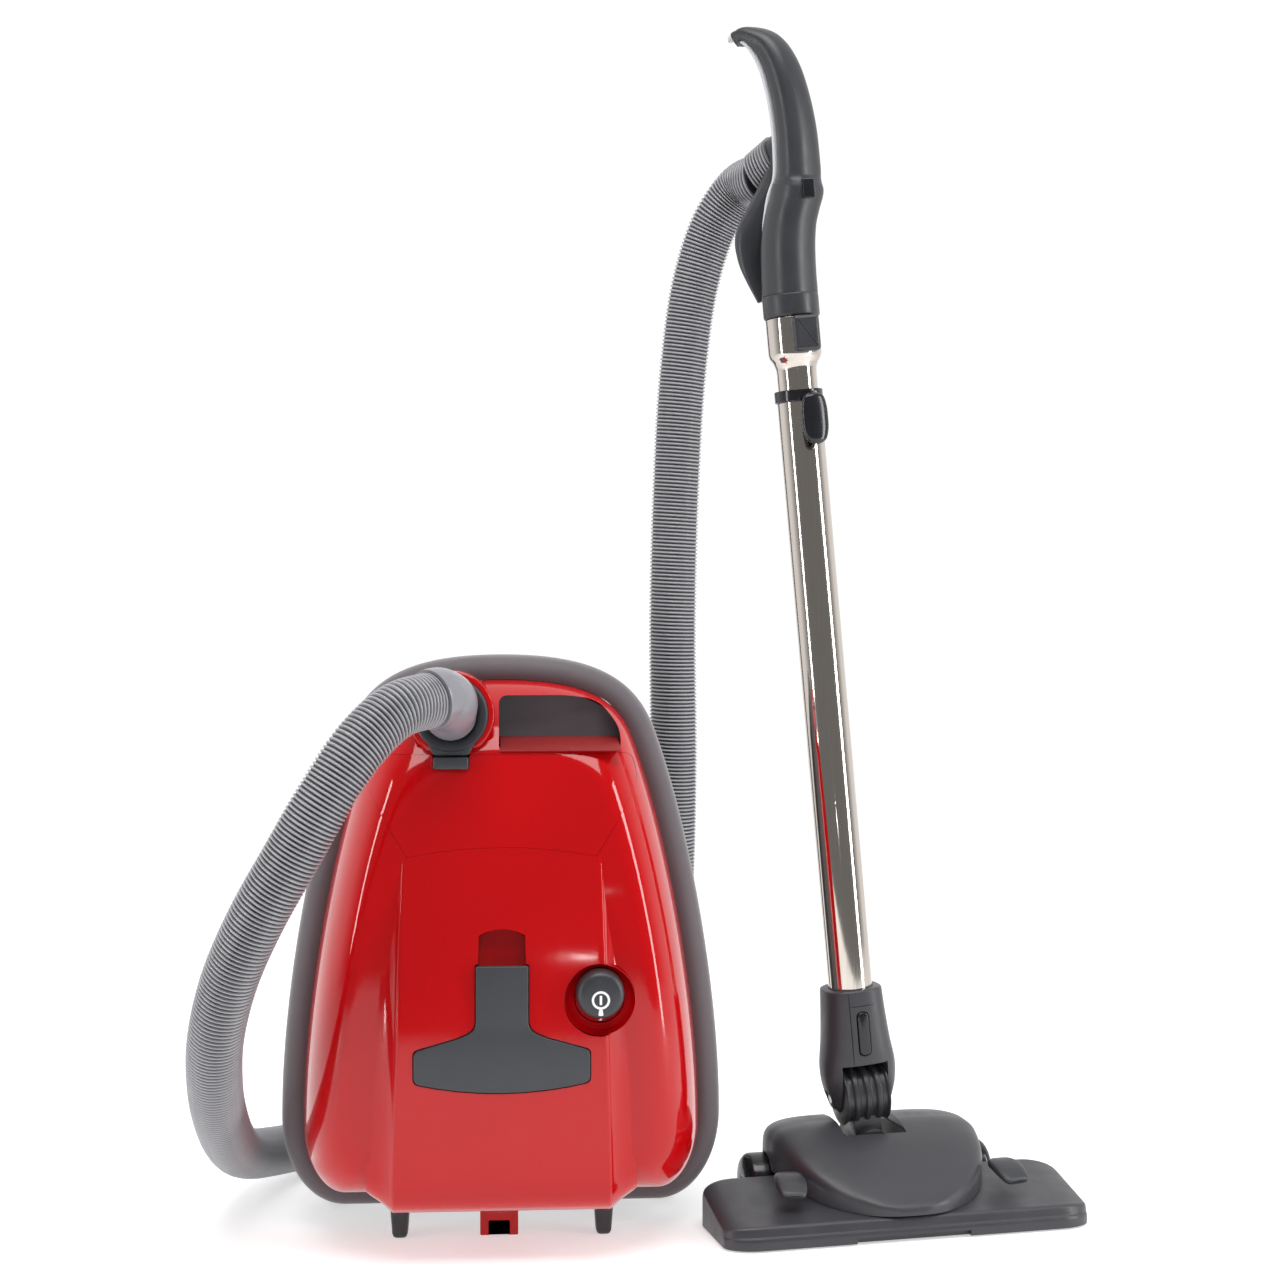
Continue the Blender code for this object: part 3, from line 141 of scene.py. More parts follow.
def roundedProfile(corners, radius, steps=5):
    # turns a (radius, height) corner list into one with small arcs at its inner corners
    p = np.asarray(corners, float)
    out = [p[0]]
    for before, corner, after in zip(p, p[1:], p[2:]):
        one, two = before - corner, after - corner
        reach = min(radius, 0.45 * np.linalg.norm(one), 0.45 * np.linalg.norm(two))
        start = corner + one / np.linalg.norm(one) * reach
        end = corner + two / np.linalg.norm(two) * reach
        t = np.linspace(0, 1, steps)[:, None]
        out.extend((1 - t) ** 2 * start + 2 * (1 - t) * t * corner + t ** 2 * end)
    return np.array(out + [p[-1]])


def sweptBody(path, sizes, across=(1, 0, 0), power=2.0, sides=48, ends="pole"):
    # superellipse sections square to a path: half width across it and half thickness through it
    path = np.asarray(path, float)
    sizes = np.asarray(sizes, float)
    ahead = np.gradient(path, axis=0)
    ahead /= np.linalg.norm(ahead, axis=1)[:, None]
    side = np.array(across, float) - ahead * (ahead @ np.array(across, float))[:, None]
    side /= np.linalg.norm(side, axis=1)[:, None]
    deep = np.cross(ahead, side)
    angle = np.linspace(0, 2 * np.pi, sides, endpoint=False)
    u = np.sign(np.cos(angle)) * np.abs(np.cos(angle)) ** (2 / power)
    v = np.sign(np.sin(angle)) * np.abs(np.sin(angle)) ** (2 / power)
    rings = (path[:, None] + side[:, None] * u[None, :, None] * sizes[:, None, :1]
             + deep[:, None] * v[None, :, None] * sizes[:, None, 1:2])
    return ringSkin(rings, ends=ends)


def inwards(outline, distance):
    # a closed outline in two columns, moved square to itself towards its inside
    along = np.roll(outline, -1, axis=0) - np.roll(outline, 1, axis=0)
    along /= np.maximum(np.linalg.norm(along, axis=1), 1e-9)[:, None]
    area = np.sum(outline[:, 0] * np.roll(outline[:, 1], -1) - np.roll(outline[:, 0], -1) * outline[:, 1])
    return outline + np.stack([-along[:, 1], along[:, 0]], 1) * distance * np.sign(area)


def softCorners(corners, radius, steps=7):
    # closed outline whose corners are quadratic arcs; radius is one number or one for each corner
    p = np.asarray(corners, float)
    radius = np.broadcast_to(radius, len(p))
    out = []
    for i in range(len(p)):
        one, two = p[i - 1] - p[i], p[(i + 1) % len(p)] - p[i]
        reach = min(radius[i], 0.48 * np.linalg.norm(one), 0.48 * np.linalg.norm(two))
        start, end = p[i] + one / np.linalg.norm(one) * reach, p[i] + two / np.linalg.norm(two) * reach
        t = np.linspace(0, 1, steps)[:, None]
        out.append((1 - t) ** 2 * start + 2 * (1 - t) * t * p[i] + t ** 2 * end)
    return np.vstack(out)


def slab(outline, back, front, edge=0.001, steps=4):
    # an outline in X and Z carried along Y, its front edge rolled over by a quarter circle
    turn = np.linspace(0, np.pi / 2, steps)
    way = np.sign(back - front)
    rings = [np.insert(outline, 1, back, axis=1)]
    rings += [np.insert(inwards(outline, edge * (1 - math.cos(a))), 1,
        front + way * edge * (1 - math.sin(a)), axis=1)
              for a in turn]
    return ringSkin(rings, ends="flat")


def joined(shapes):
    # several closed shapes as one list of points and faces
    points, faces, start = [], [], 0
    for some, theirs in shapes:
        points.append(some)
        faces += [[i + start for i in face] for face in theirs]
        start += len(some)
    return np.vstack(points), faces


def newObject(name, shape, place=None):
    points, faces = shape
    if place is not None:
        points = placed(points, place)
    mesh = bpy.data.meshes.new(name)
    mesh.from_pydata(points.tolist(), [], faces)
    bm = bmesh.new()
    bm.from_mesh(mesh)
    bmesh.ops.recalc_face_normals(bm, faces=bm.faces)
    bm.to_mesh(mesh)
    bm.free()
    made = bpy.data.objects.new(name, mesh)
    bpy.context.scene.collection.objects.link(made)
    return made


def shaded(piece, sharp):
    piece.data.shade_smooth()
    piece.data.set_sharp_from_angle(angle=math.radians(sharp))
    return piece


def carved(piece, tools, operation="DIFFERENCE"):
    # cut a closed piece with closed tools and keep the result as its mesh
    for tool in tools:
        cut = piece.modifiers.new("cut", "BOOLEAN")
        cut.operation = operation
        cut.solver = "MANIFOLD"
        cut.object = tool
    depsgraph = bpy.context.evaluated_depsgraph_get()
    result = bpy.data.meshes.new_from_object(piece.evaluated_get(depsgraph))
    piece.modifiers.clear()
    old = piece.data
    piece.data = result
    bpy.data.meshes.remove(old)
    for tool in tools:
        bpy.data.objects.remove(tool, do_unlink=True)
    return piece


def dressed(piece, finish, body, replaced=(), sharp=40):
    # finish and shade a piece, hang it on its body and hide the CAD parts it stands for
    shaded(piece, sharp)
    piece.data.materials.clear()
    piece.data.materials.append(finish)
    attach(piece, body)
    if replaced:
        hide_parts(*replaced)
    return piece


# Materials

def linear(hexColour, alpha=1.0):
    # sRGB hex to linear light
    s = np.array([int(hexColour[i:i + 2], 16) / 255 for i in (1, 3, 5)])
    return (*np.where(s <= 0.04045, s / 12.92, ((s + 0.055) / 1.055) ** 2.4).tolist(), alpha)


def addNode(tree, kind, settings=None, **inputs):
    # one node with its settings and its inputs: a socket is linked, anything else is set
    made = tree.nodes.new(kind)
    for key, value in (settings or {}).items():
        setattr(made, key, value)
    for key, value in inputs.items():
        numbered = key[0] == "i" and key[1:].isdigit()
        socket = made.inputs[int(key[1:]) if numbered else key.replace("_", " ")]
        if isinstance(value, bpy.types.NodeSocket):
            tree.links.new(value, socket)
        else:
            socket.default_value = value
    return made


def startMaterial(name):
    made = bpy.data.materials.new(name)
    made.use_nodes = True
    return made, made.node_tree, made.node_tree.nodes["Principled BSDF"]


def mouldedFinish(name, look):
    # an injection moulding: two close colours in soft clouds, a fine spark-eroded grain that breaks the
    # gloss, and roughness that wanders with handling. The grain's size is in millimetres.
    made, tree, shader = startMaterial(name)
    where = addNode(tree, "ShaderNodeTexCoord").outputs["Object"]
    clouds = addNode(tree, "ShaderNodeTexNoise", Vector=where, Scale=look.get("cloudScale", 22.0), Detail=3.0)
    tint = addNode(tree, "ShaderNodeMix", {"data_type": "RGBA"}, i0=clouds.outputs["Fac"],
                   i6=linear(look["colour"]), i7=linear(look["second"]))
    tree.links.new(tint.outputs[2], shader.inputs["Base Color"])
    smears = addNode(tree, "ShaderNodeTexNoise", Vector=where, Scale=look.get("smearScale", 60.0), Detail=4.0)
    rough = addNode(tree, "ShaderNodeMapRange", i0=smears.outputs["Fac"], i1=0.3, i2=0.7,
                    i3=look["rough"] - look["wander"], i4=look["rough"] + look["wander"])
    tree.links.new(rough.outputs[0], shader.inputs["Roughness"])
    grain = addNode(tree, "ShaderNodeTexNoise", Vector=where, Scale=1000.0 / look["grainMm"], Detail=2.0)
    bump = addNode(tree, "ShaderNodeBump", Strength=look["grainStrength"], Distance=look["grainDepth"],
                   Height=grain.outputs["Fac"])
    tree.links.new(bump.outputs["Normal"], shader.inputs["Normal"])
    shader.inputs["IOR"].default_value = look.get("ior", 1.50)
    shader.inputs["Sheen Weight"].default_value = look.get("sheen", 0.0)
    return made


def platedSteel(name, look):
    # bright plating over drawn tube: near mirror, with fine lines along the tube left by polishing
    made, tree, shader = startMaterial(name)
    where = addNode(tree, "ShaderNodeTexCoord").outputs["Object"]
    stretched = addNode(tree, "ShaderNodeMapping", Vector=where, Scale=(1.0, 1.0, look["lineStretch"]))
    lines = addNode(tree, "ShaderNodeTexNoise", Vector=stretched.outputs[0],
        Scale=1000.0 / look["lineMm"], Detail=3.0)
    tint = addNode(tree, "ShaderNodeMix", {"data_type": "RGBA"}, i0=lines.outputs["Fac"],
                   i6=linear(look["colour"]), i7=linear(look["second"]))
    tree.links.new(tint.outputs[2], shader.inputs["Base Color"])
    rough = addNode(tree, "ShaderNodeMapRange", i0=lines.outputs["Fac"], i1=0.3, i2=0.7,
                    i3=look["rough"] - look["wander"], i4=look["rough"] + look["wander"])
    tree.links.new(rough.outputs[0], shader.inputs["Roughness"])
    shader.inputs["Metallic"].default_value = 1.0
    return made


def ribbedHoseFinish(name, look):
    # extruded vinyl over a wire helix: pale and shiny on the crowns, dull in the grooves, where the dark
    # groove colour is painted shade
    made, tree, shader = startMaterial(name)
    crown = addNode(tree, "ShaderNodeAttribute", {"attribute_name": "crown"}).outputs["Fac"]
    where = addNode(tree, "ShaderNodeTexCoord").outputs["Object"]
    clouds = addNode(tree, "ShaderNodeTexNoise", Vector=where, Scale=35.0, Detail=3.0)
    pale = addNode(tree, "ShaderNodeMix", {"data_type": "RGBA"}, i0=clouds.outputs["Fac"],
                   i6=linear(look["colour"]), i7=linear(look["second"]))
    # The groove colour is painted shade: the grooves are the same vinyl, drawn darker where shade falls
    # between the ribs.
    tint = addNode(tree, "ShaderNodeMix", {"data_type": "RGBA"}, i0=crown, i6=linear(look["groove"]),
                   i7=pale.outputs[2])
    tree.links.new(tint.outputs[2], shader.inputs["Base Color"])
    rough = addNode(tree, "ShaderNodeMapRange", i0=crown, i3=look["roughGroove"], i4=look["rough"])
    tree.links.new(rough.outputs[0], shader.inputs["Roughness"])
    shader.inputs["IOR"].default_value = 1.52
    return made


def floorFinish(name, look):
    # white studio paper with a glow of its own, so that it stays as pale as the sky
    made, tree, shader = startMaterial(name)
    shader.inputs["Base Color"].default_value = linear(look["colour"])
    shader.inputs["Roughness"].default_value = 0.85
    shader.inputs["Emission Color"].default_value = linear(look["colour"])
    shader.inputs["Emission Strength"].default_value = look["glow"]
    return made


# High-gloss ABS from a polished mould: deep red, sharp reflections with a faint long ripple.
glossRed = mouldedFinish("gloss_red_abs", {
    "colour": "#b00006", "second": "#b80208", "rough": 0.075, "wander": 0.02, "grainMm": 9.0,
    "grainStrength": 0.05, "grainDepth": 0.0004, "cloudScale": 9.0, "smearScale": 30.0, "ior": 1.46})
# Satin grey ABS with spark-eroded grain, drawn coarse enough to show.
slateSatin = mouldedFinish("slate_satin_abs", {
    "colour": "#35373b", "second": "#3a3c40", "rough": 0.42, "wander": 0.05, "grainMm": 0.9,
    "grainStrength": 0.35, "grainDepth": 0.00012})
charcoalSatin = mouldedFinish("charcoal_satin_abs", {
    "colour": "#2c2d31", "second": "#333438", "rough": 0.38, "wander": 0.06, "grainMm": 0.9,
    "grainStrength": 0.35, "grainDepth": 0.00012})
headSatin = mouldedFinish("floor_head_satin_abs", {
    "colour": "#303035", "second": "#37373c", "rough": 0.40, "wander": 0.06, "grainMm": 1.0,
    "grainStrength": 0.45, "grainDepth": 0.00016, "sheen": 0.05})
bellySatin = mouldedFinish("belly_satin_polypropylene", {
    "colour": "#2c2d30", "second": "#323336", "rough": 0.50, "wander": 0.05, "grainMm": 1.2,
    "grainStrength": 0.4, "grainDepth": 0.0002})
blackGloss = mouldedFinish("black_gloss_abs", {
    "colour": "#141519", "second": "#1a1b1f", "rough": 0.20, "wander": 0.05, "grainMm": 3.0,
    "grainStrength": 0.08, "grainDepth": 0.0001})
paleGrey = mouldedFinish("pale_grey_abs", {
    "colour": "#aeadb3", "second": "#b8b7bd", "rough": 0.28, "wander": 0.05, "grainMm": 1.5,
    "grainStrength": 0.15, "grainDepth": 0.0001})
elbowGrey = mouldedFinish("elbow_smooth_grey_abs", {
    "colour": "#807f86", "second": "#8a8990", "rough": 0.24, "wander": 0.05, "grainMm": 4.0,
    "grainStrength": 0.06, "grainDepth": 0.0001})
shelfRed = mouldedFinish("shelf_satin_red_abs", {
    "colour": "#8f2020", "second": "#992626", "rough": 0.40, "wander": 0.05, "grainMm": 1.0,
    "grainStrength": 0.3, "grainDepth": 0.0001})
# Slate made lighter for the handle tray: painted light that offsets the shade in the recess.
trayLightenedSlate = mouldedFinish("handle_tray_lightened_slate", {
    "colour": "#5a5c61", "second": "#626368", "rough": 0.45, "wander": 0.05, "grainMm": 0.9,
    "grainStrength": 0.35, "grainDepth": 0.00012})
inlayGrey = mouldedFinish("grip_inlay_soft_grey", {
    "colour": "#c6c6ca", "second": "#d2d2d6", "rough": 0.45, "wander": 0.05, "grainMm": 1.0,
    "grainStrength": 0.3, "grainDepth": 0.0001})
whitePrint = mouldedFinish("white_pad_print", {
    "colour": "#f2f2f2", "second": "#e9e9ea", "rough": 0.45, "wander": 0.05, "grainMm": 0.8,
    "grainStrength": 0.1, "grainDepth": 0.00005})
# Soft cover over a foam bumper: matt, with a nap that catches light along the curve.
beltCover = mouldedFinish("belt_soft_cover", {
    "colour": "#544d51", "second": "#5e575b", "rough": 0.62, "wander": 0.06, "grainMm": 0.7,
    "grainStrength": 0.5, "grainDepth": 0.0002, "sheen": 0.35, "ior": 1.45})
blackRubber = mouldedFinish("black_rubber", {
    "colour": "#1b1b1d", "second": "#242426", "rough": 0.62, "wander": 0.08, "grainMm": 1.0,
    "grainStrength": 0.3, "grainDepth": 0.0001})
bagFleece = mouldedFinish("dust_bag_fleece", {
    "colour": "#d8cfb8", "second": "#c8bea4", "rough": 0.9, "wander": 0.05, "grainMm": 1.6,
    "grainStrength": 0.7, "grainDepth": 0.0004, "sheen": 0.2})
filterFoam = mouldedFinish("filter_foam", {
    "colour": "#c9c9cb", "second": "#b4b4b8", "rough": 0.95, "wander": 0.04, "grainMm": 1.2,
    "grainStrength": 0.9, "grainDepth": 0.0006})
boardGreen = mouldedFinish("circuit_board_lacquer", {
    "colour": "#1d5a33", "second": "#246b3d", "rough": 0.35, "wander": 0.05, "grainMm": 2.0,
    "grainStrength": 0.3, "grainDepth": 0.0001})
bristleBlack = mouldedFinish("bristle_strip", {
    "colour": "#18181a", "second": "#303034", "rough": 0.9, "wander": 0.05, "grainMm": 0.6,
    "grainStrength": 1.0, "grainDepth": 0.0008})
# The plating's warm tint is painted reflection: it stands in for the warm surroundings seen in the tubes.
chromeTube = platedSteel("bright_plated_tube", {
    "colour": "#d2cbc4", "second": "#c2b9b0", "rough": 0.09, "wander": 0.03, "lineMm": 1.0,
    "lineStretch": 0.02})
turnedSteel = platedSteel("turned_steel", {
    "colour": "#b9b9bb", "second": "#a5a5a8", "rough": 0.30, "wander": 0.06, "lineMm": 0.8,
    "lineStretch": 0.3})
woundCopper = platedSteel("wound_copper", {
    "colour": "#b8703f", "second": "#8c5230", "rough": 0.38, "wander": 0.08, "lineMm": 0.8,
    "lineStretch": 6.0})
hoseVinyl = ribbedHoseFinish("hose_vinyl", {
    # Its groove colour is painted shade between the ribs.
    "colour": "#a9a9ad", "second": "#9c9ca1", "groove": "#2e2e32", "rough": 0.30, "roughGroove": 0.6})

# CAD pieces whose shape stays take a real finish.
keptFinishes = {
    "gloss_red": glossRed, "belt_grey": beltCover, "belly_grey": bellySatin, "slate": slateSatin,
    "charcoal": charcoalSatin, "black": blackGloss, "pale_grey": paleGrey, "hose_grey": hoseVinyl,
    "chrome": chromeTube, "steel": turnedSteel, "rubber": blackRubber, "paper": bagFleece, "foam": filterFoam,
    "board": boardGreen, "copper": woundCopper, "bristle": bristleBlack}
for part in frame["record"]["subparts"]:
    kept = nodes[part["node"]]
    kept.data.materials.clear()
    kept.data.materials.append(keptFinishes[part["material_slot"]])
print("materials ready")

# Hose: one spiral-ribbed tube on the CAD route, in lengths; the lengths listed with a joint are left
# unparented in world space, and the length on the floor hangs on the canister.
hoseLook = {
    "diameter": 0.0360, "pitch": 0.0028, "ribDepth": 0.00160, "ringsPerRib": 6, "sides": 28,
    "route": [
        (-0.1790, -0.1290, 0.3700), (-0.1990, -0.1500, 0.3640), (-0.2210, -0.1650, 0.3430),
        (-0.2420, -0.1720, 0.3110), (-0.2630, -0.1710, 0.2740), (-0.2840, -0.1640, 0.2370),
        (-0.3020, -0.1500, 0.1980), (-0.3140, -0.1280, 0.1570), (-0.3190, -0.0960, 0.1180),
        (-0.3200, -0.0540, 0.0840), (-0.3190, -0.0030, 0.0560), (-0.3150, 0.0500, 0.0370),
        (-0.3020, 0.1030, 0.0250),
        (-0.2720, 0.1480, 0.0195), (-0.2150, 0.1740, 0.0190), (-0.1450, 0.1820, 0.0190),
        (-0.0850, 0.1790, 0.0240), (-0.0400, 0.1680, 0.0480), (-0.0150, 0.1480, 0.0960),
        (-0.0070, 0.1320, 0.1650), (-0.0040, 0.1200, 0.2400), (-0.0030, 0.1130, 0.3200),
        (-0.0040, 0.1080, 0.4200), (-0.0020, 0.1030, 0.5200), (0.0030, 0.0970, 0.6100),
        (0.0120, 0.0900, 0.6750), (0.0260, 0.0820, 0.7170), (0.0430, 0.0700, 0.7400),
        (0.0560, 0.0520, 0.7440)],
    "lengths": [
        {"name": "hose_at_elbow", "end": 0.225, "bends": ("hose_elbow", "canister")},
        {"name": "hose_on_floor", "end": 0.800, "bends": None},
        {"name": "hose_rising", "end": 1.020, "bends": ("canister", "neck")},
        {"name": "hose_behind_wand", "end": 1.340, "bends": ("neck", "wand_lower")},
        {"name": "hose_at_handle", "end": None, "bends": ("wand_lower", "wand_upper")}]}


def evenLine(route, spacing):
    # centripetal curve through the route's points, then walked at an even spacing
    p = np.array(route, float)
    p = np.vstack([2 * p[0] - p[1], p, 2 * p[-1] - p[-2]])
    dense = []
    for a, b, c, d in zip(p, p[1:], p[2:], p[3:]):
        t = np.cumsum([0.0] + [np.linalg.norm(v - u) ** 0.5 for u, v in ((a, b), (b, c), (c, d))])
        s = np.linspace(t[1], t[2], 40, endpoint=False)[:, None]
        a1 = (t[1] - s) / (t[1] - t[0]) * a + (s - t[0]) / (t[1] - t[0]) * b
        a2 = (t[2] - s) / (t[2] - t[1]) * b + (s - t[1]) / (t[2] - t[1]) * c
        a3 = (t[3] - s) / (t[3] - t[2]) * c + (s - t[2]) / (t[3] - t[2]) * d
        b1 = (t[2] - s) / (t[2] - t[0]) * a1 + (s - t[0]) / (t[2] - t[0]) * a2
        b2 = (t[3] - s) / (t[3] - t[1]) * a2 + (s - t[1]) / (t[3] - t[1]) * a3
        dense.append((t[2] - s) / (t[2] - t[1]) * b1 + (s - t[1]) / (t[2] - t[1]) * b2)
    dense = np.vstack(dense + [p[-2:-1]])
    run = np.concatenate([[0], np.cumsum(np.linalg.norm(np.diff(dense, axis=0), axis=1))])
    count = max(2, round(run[-1] / spacing))
    walk = np.linspace(0, run[-1], count + 1)
    return np.stack([np.interp(walk, run, dense[:, k]) for k in range(3)], 1), walk


def steadyFrames(line):
    # side and depth vectors carried along a line with the least turning
    ahead = np.gradient(line, axis=0)
    ahead /= np.linalg.norm(ahead, axis=1)[:, None]
    side = np.cross(ahead[0], (0, 0, 1.0))
    sides = []
    for way in ahead:
        side = side - way * (side @ way)
        side = side / np.linalg.norm(side)
        sides.append(side)
    sides = np.array(sides)
    return sides, np.cross(ahead, sides)


def hoseSkin(line, walk, sides, deeps, look):
    # ring radius = outer radius less the groove, whose depth follows a rounded wave of arc length over pitch,
    # shifted by the angle so that the ribs wind round as one helix
    angle = np.linspace(0, 2 * np.pi, look["sides"], endpoint=False)
    phase = walk[:, None] / look["pitch"] + angle[None, :] / (2 * np.pi)
    crown = np.clip(0.5 + 0.75 * np.cos(2 * np.pi * phase), 0, 1)
    radius = look["diameter"] / 2 - look["ribDepth"] * (1 - crown)
    rings = (line[:, None] + radius[:, :, None] * (np.cos(angle)[None, :, None] * sides[:, None]
                                                   + np.sin(angle)[None, :, None] * deeps[:, None]))
    points, faces = ringSkin(rings)
    return points, faces, np.concatenate([crown.reshape(-1), [0.0, 0.0]])


hoseLine, hoseWalk = evenLine(placed(hoseLook["route"], middle), hoseLook["pitch"] / hoseLook["ringsPerRib"])
hoseSides, hoseDeeps = steadyFrames(hoseLine)
start = 0
for length in hoseLook["lengths"]:
    end = len(hoseWalk) - 1 if length["end"] is None else int(np.searchsorted(hoseWalk, length["end"]))
    span = slice(start, end + 1)
    points, faces, crown = hoseSkin(hoseLine[span], hoseWalk[span], hoseSides[span], hoseDeeps[span],
        hoseLook)
    piece = newObject(length["name"], (points, faces))
    piece.data.attributes.new("crown", "FLOAT", "POINT").data.foreach_set("value", crown.astype(np.float32))
    shaded(piece, 60)
    piece.data.materials.append(hoseVinyl)
    if length["bends"]:
        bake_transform(piece)
    else:
        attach(piece, "canister")
        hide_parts("hose")
    start = end
print("hose ready")

# Canister casing

shape = {
    "halfWidth": 0.1525, "bottom": 0.0155, "top": 0.3970, "beltWide": 0.0173, "frontDeep": 0.1050,
    "frontThin": 0.0500,
    "backDeep": 0.0900, "backThin": 0.0560, "rollOver": 0.0400, "wall": 0.0025, "fine": 11}


def bezier(a, b, c, d, steps):
    # cubic Bezier curve through its four control points, without its last point
    t = np.linspace(0, 1, steps, endpoint=False)[:, None]
    a, b, c, d = (np.array(q, float) for q in (a, b, c, d))
    return (1 - t) ** 3 * a + 3 * (1 - t) ** 2 * t * b + 3 * (1 - t) * t ** 2 * c + t ** 3 * d


def canisterOutline(inset):
    # half outline from four Bezier curves, mirrored, then moved inwards by the inset
    w, low, top, fine = shape["halfWidth"], shape["bottom"], shape["top"], shape["fine"]
    foot, hip, neck = (w - 0.0445, low), (w, low + 0.0625), (w - 0.0465, top - 0.0500)
    half = np.vstack([
        bezier((0, low), (0.04, low), (0.08, low), foot, 3 * fine),
        bezier(foot, (foot[0] + 0.026, low), (w, low + 0.0285), hip, 5 * fine),
        bezier(hip, (w, low + 0.1545), (w - 0.0245, top - 0.1070), neck, 6 * fine),
        bezier(neck, (w - 0.0605, top - 0.0140), (0.060, top), (0, top), 6 * fine)])
    return inwards(np.vstack([half, [(0, top)], half[:0:-1] * [-1, 1]]), inset)


def frontDepth(z):
    # depth of the front at a height: full low down, then less by the square of the height over 0.22
    return shape["frontDeep"] - (shape["frontDeep"] - shape["frontThin"]) * np.clip((z - 0.22) / 0.177, 0,
        1) ** 2


def backDepth(z):
    # the same for the belly, over 0.26
    return shape["backDeep"] - (shape["backDeep"] - shape["backThin"]) * np.clip((z - 0.26) / 0.137, 0,
        1) ** 2


def domeSkin(side, thinner, rim):
    # rings from the rim: inset = roll times (1 - cos turn), depth = start + (depth - start) times sin turn,
    # then flat
    depth, start = (frontDepth, 0.020) if side < 0 else (backDepth, 0.025)
    middlePoint = np.array([0, 0.19])
    edge = canisterOutline(shape["beltWide"] + thinner)
    turn = np.linspace(0, np.pi / 2, 26)
    rings = [np.insert(edge, 1, side * rim, axis=1)]
    for a in turn:
        shrink = 1 - shape["rollOver"] / shape["halfWidth"] * (1 - math.cos(a))
        flat = middlePoint + (edge - middlePoint) * shrink
        rings.append(np.insert(flat, 1, side * (start + (depth(flat[:,
            1]) - thinner - start) * math.sin(a)), axis=1))
    last = 1 - shape["rollOver"] / shape["halfWidth"]
    for shrink in np.linspace(last, 0.02, 26)[1:]:
        flat = middlePoint + (edge - middlePoint) * shrink
        rings.append(np.insert(flat, 1, side * (depth(flat[:, 1]) - thinner), axis=1))
    return ringSkin(rings)


plateauLook = {
    "half": 0.0720, "taper": 0.085,
    "side": [(0.0335, -0.0960), (0.0400, -0.1080), (0.0500, -0.1140), (0.0620, -0.1160), (0.0950, -0.1162),
             (0.1300, -0.1160), (0.1700, -0.1148), (0.2000, -0.1125), (0.2300, -0.1086), (0.2480, -0.1055),
             (0.2600, -0.1029), (0.2680, -0.1008), (0.2720, -0.0992)],
    "flank": [(-0.0040, 0.0), (-0.0026, 0.0001), (-0.0014, 0.0005), (-0.0004, 0.0014), (0.0008, 0.0029),
    (0.0026, 0.0048),
              (0.0052, 0.0070), (0.0085, 0.0090), (0.0125, 0.0108), (0.0170, 0.0125)]}


def plateauSkin(thinner):
    # front line from the side keys, repeated across; past the half width it falls back by the flank keys,
    # and its foot lifts by the square of that fall
    side = smoothKeys(plateauLook["side"], 90)
    flank = smoothKeys(plateauLook["flank"], 33)
    xs = np.concatenate([-(plateauLook["half"] + flank[::-1, 0]), np.linspace(-0.066, 0.066, 25),
                         plateauLook["half"] + flank[:, 0]])
    falls = np.concatenate([flank[::-1, 1], np.zeros(25), flank[:, 1]])
    rings = []
    for x, fall in zip(xs, falls):
        lift = 0.010 * min(1.0, fall / 0.0125) ** 2
        z = np.concatenate([[0.0335], side[:, 0], [0.2720]])
        z = z + lift * np.clip((0.0800 - z) / 0.0465, 0, 1)
        y = np.concatenate([[-0.035], side[:, 1] + fall + thinner, [-0.035]])
        wide = (x - np.sign(x) * thinner) * (1 - plateauLook["taper"] * (z - 0.04) / 0.23)
        rings.append(np.stack([wide, y, z + thinner * (1 - 2 * (z > 0.2))], 1))
    return ringSkin(rings)


inletAt = (-0.0335, 0.0, 0.3585)
knobAt = (0.0635, 0.0, 0.1790)
wellAt = (0.0635, 0.0, 0.1745)
front = (0, -1, 0)


def lidOutline(grow):
    # lower edge is a shallow arch, the sides widen upwards to rounded corners
    low, top = 0.2725 - grow, 0.3320 + grow
    x = np.linspace(-0.062 - grow, 0.062 + grow, 41)
    lower = np.stack([x, low - 0.006 * (x / 0.062) ** 2], 1)
    right = np.array([(0.0910 + grow, top - 0.018), (0.0885 + grow, top)])
    corners = np.vstack([right, right[::-1] * [-1, 1]])
    return np.vstack([lower, softCorners(np.vstack([lower[-1:], corners, lower[:1]]),
        (0, 0.004, 0.011, 0.011, 0.004, 0))[7:-7]])


def teeOutline(grow):
    # stem on a crossbar with an arched lower edge
    x = np.linspace(-0.0570 - grow, 0.0570 + grow, 9)
    arch = np.stack([x, 0.1155 - grow + 0.0065 * (x / 0.0570) ** 2], 1)
    bar, stem = 0.1427 + grow, 0.0170 + grow
    right = np.array([(0.0570 + grow, bar), (0.0270, bar + 0.0085), (stem, bar + 0.0135),
        (stem, 0.1975 + grow)])
    corners = np.vstack([arch, right, right[::-1] * [-1, 1]])
    return softCorners(corners, [0.004] + [0.002] * 7 + [0.004, 0.0035, 0.005, 0.012, 0.0012, 0.0012,
        0.012, 0.005, 0.0035])


def fingerOutline(grow):
    # straight sides under an arched top
    angle = np.radians(np.linspace(60, 120, 15))
    top = np.stack([(0.030 + grow) * np.cos(angle), 0.1905 + (0.030 + grow) * np.sin(angle)], 1)
    half = 0.0160 + grow
    return np.vstack([[(-half, 0.1675), (half, 0.1675)], top])


def handleOutline(grow):
    # flat below, its upper edge falls away to the right
    x0, x1, z0, z1 = -0.0020 - grow, 0.0800 + grow, 0.3340 - grow, 0.3700 + grow
    return softCorners([(x0, z0), (x1, z0), (x1, z0 + 0.014), (x1 - 0.0130, z1 - 0.0040),
        (x1 - 0.034, z1), (x0, z1)],
                       (0.004, 0.005, 0.010, 0.014, 0.012, 0.006))


def cylinder(radius, start, end, at, axis=front, sides=96):
    return turned([(0, start), (radius, start), (radius, end), (0, end)], at, axis, sides)


def tool(shapeMade, place=canisterPlace):
    return newObject("cutter", shapeMade, place)


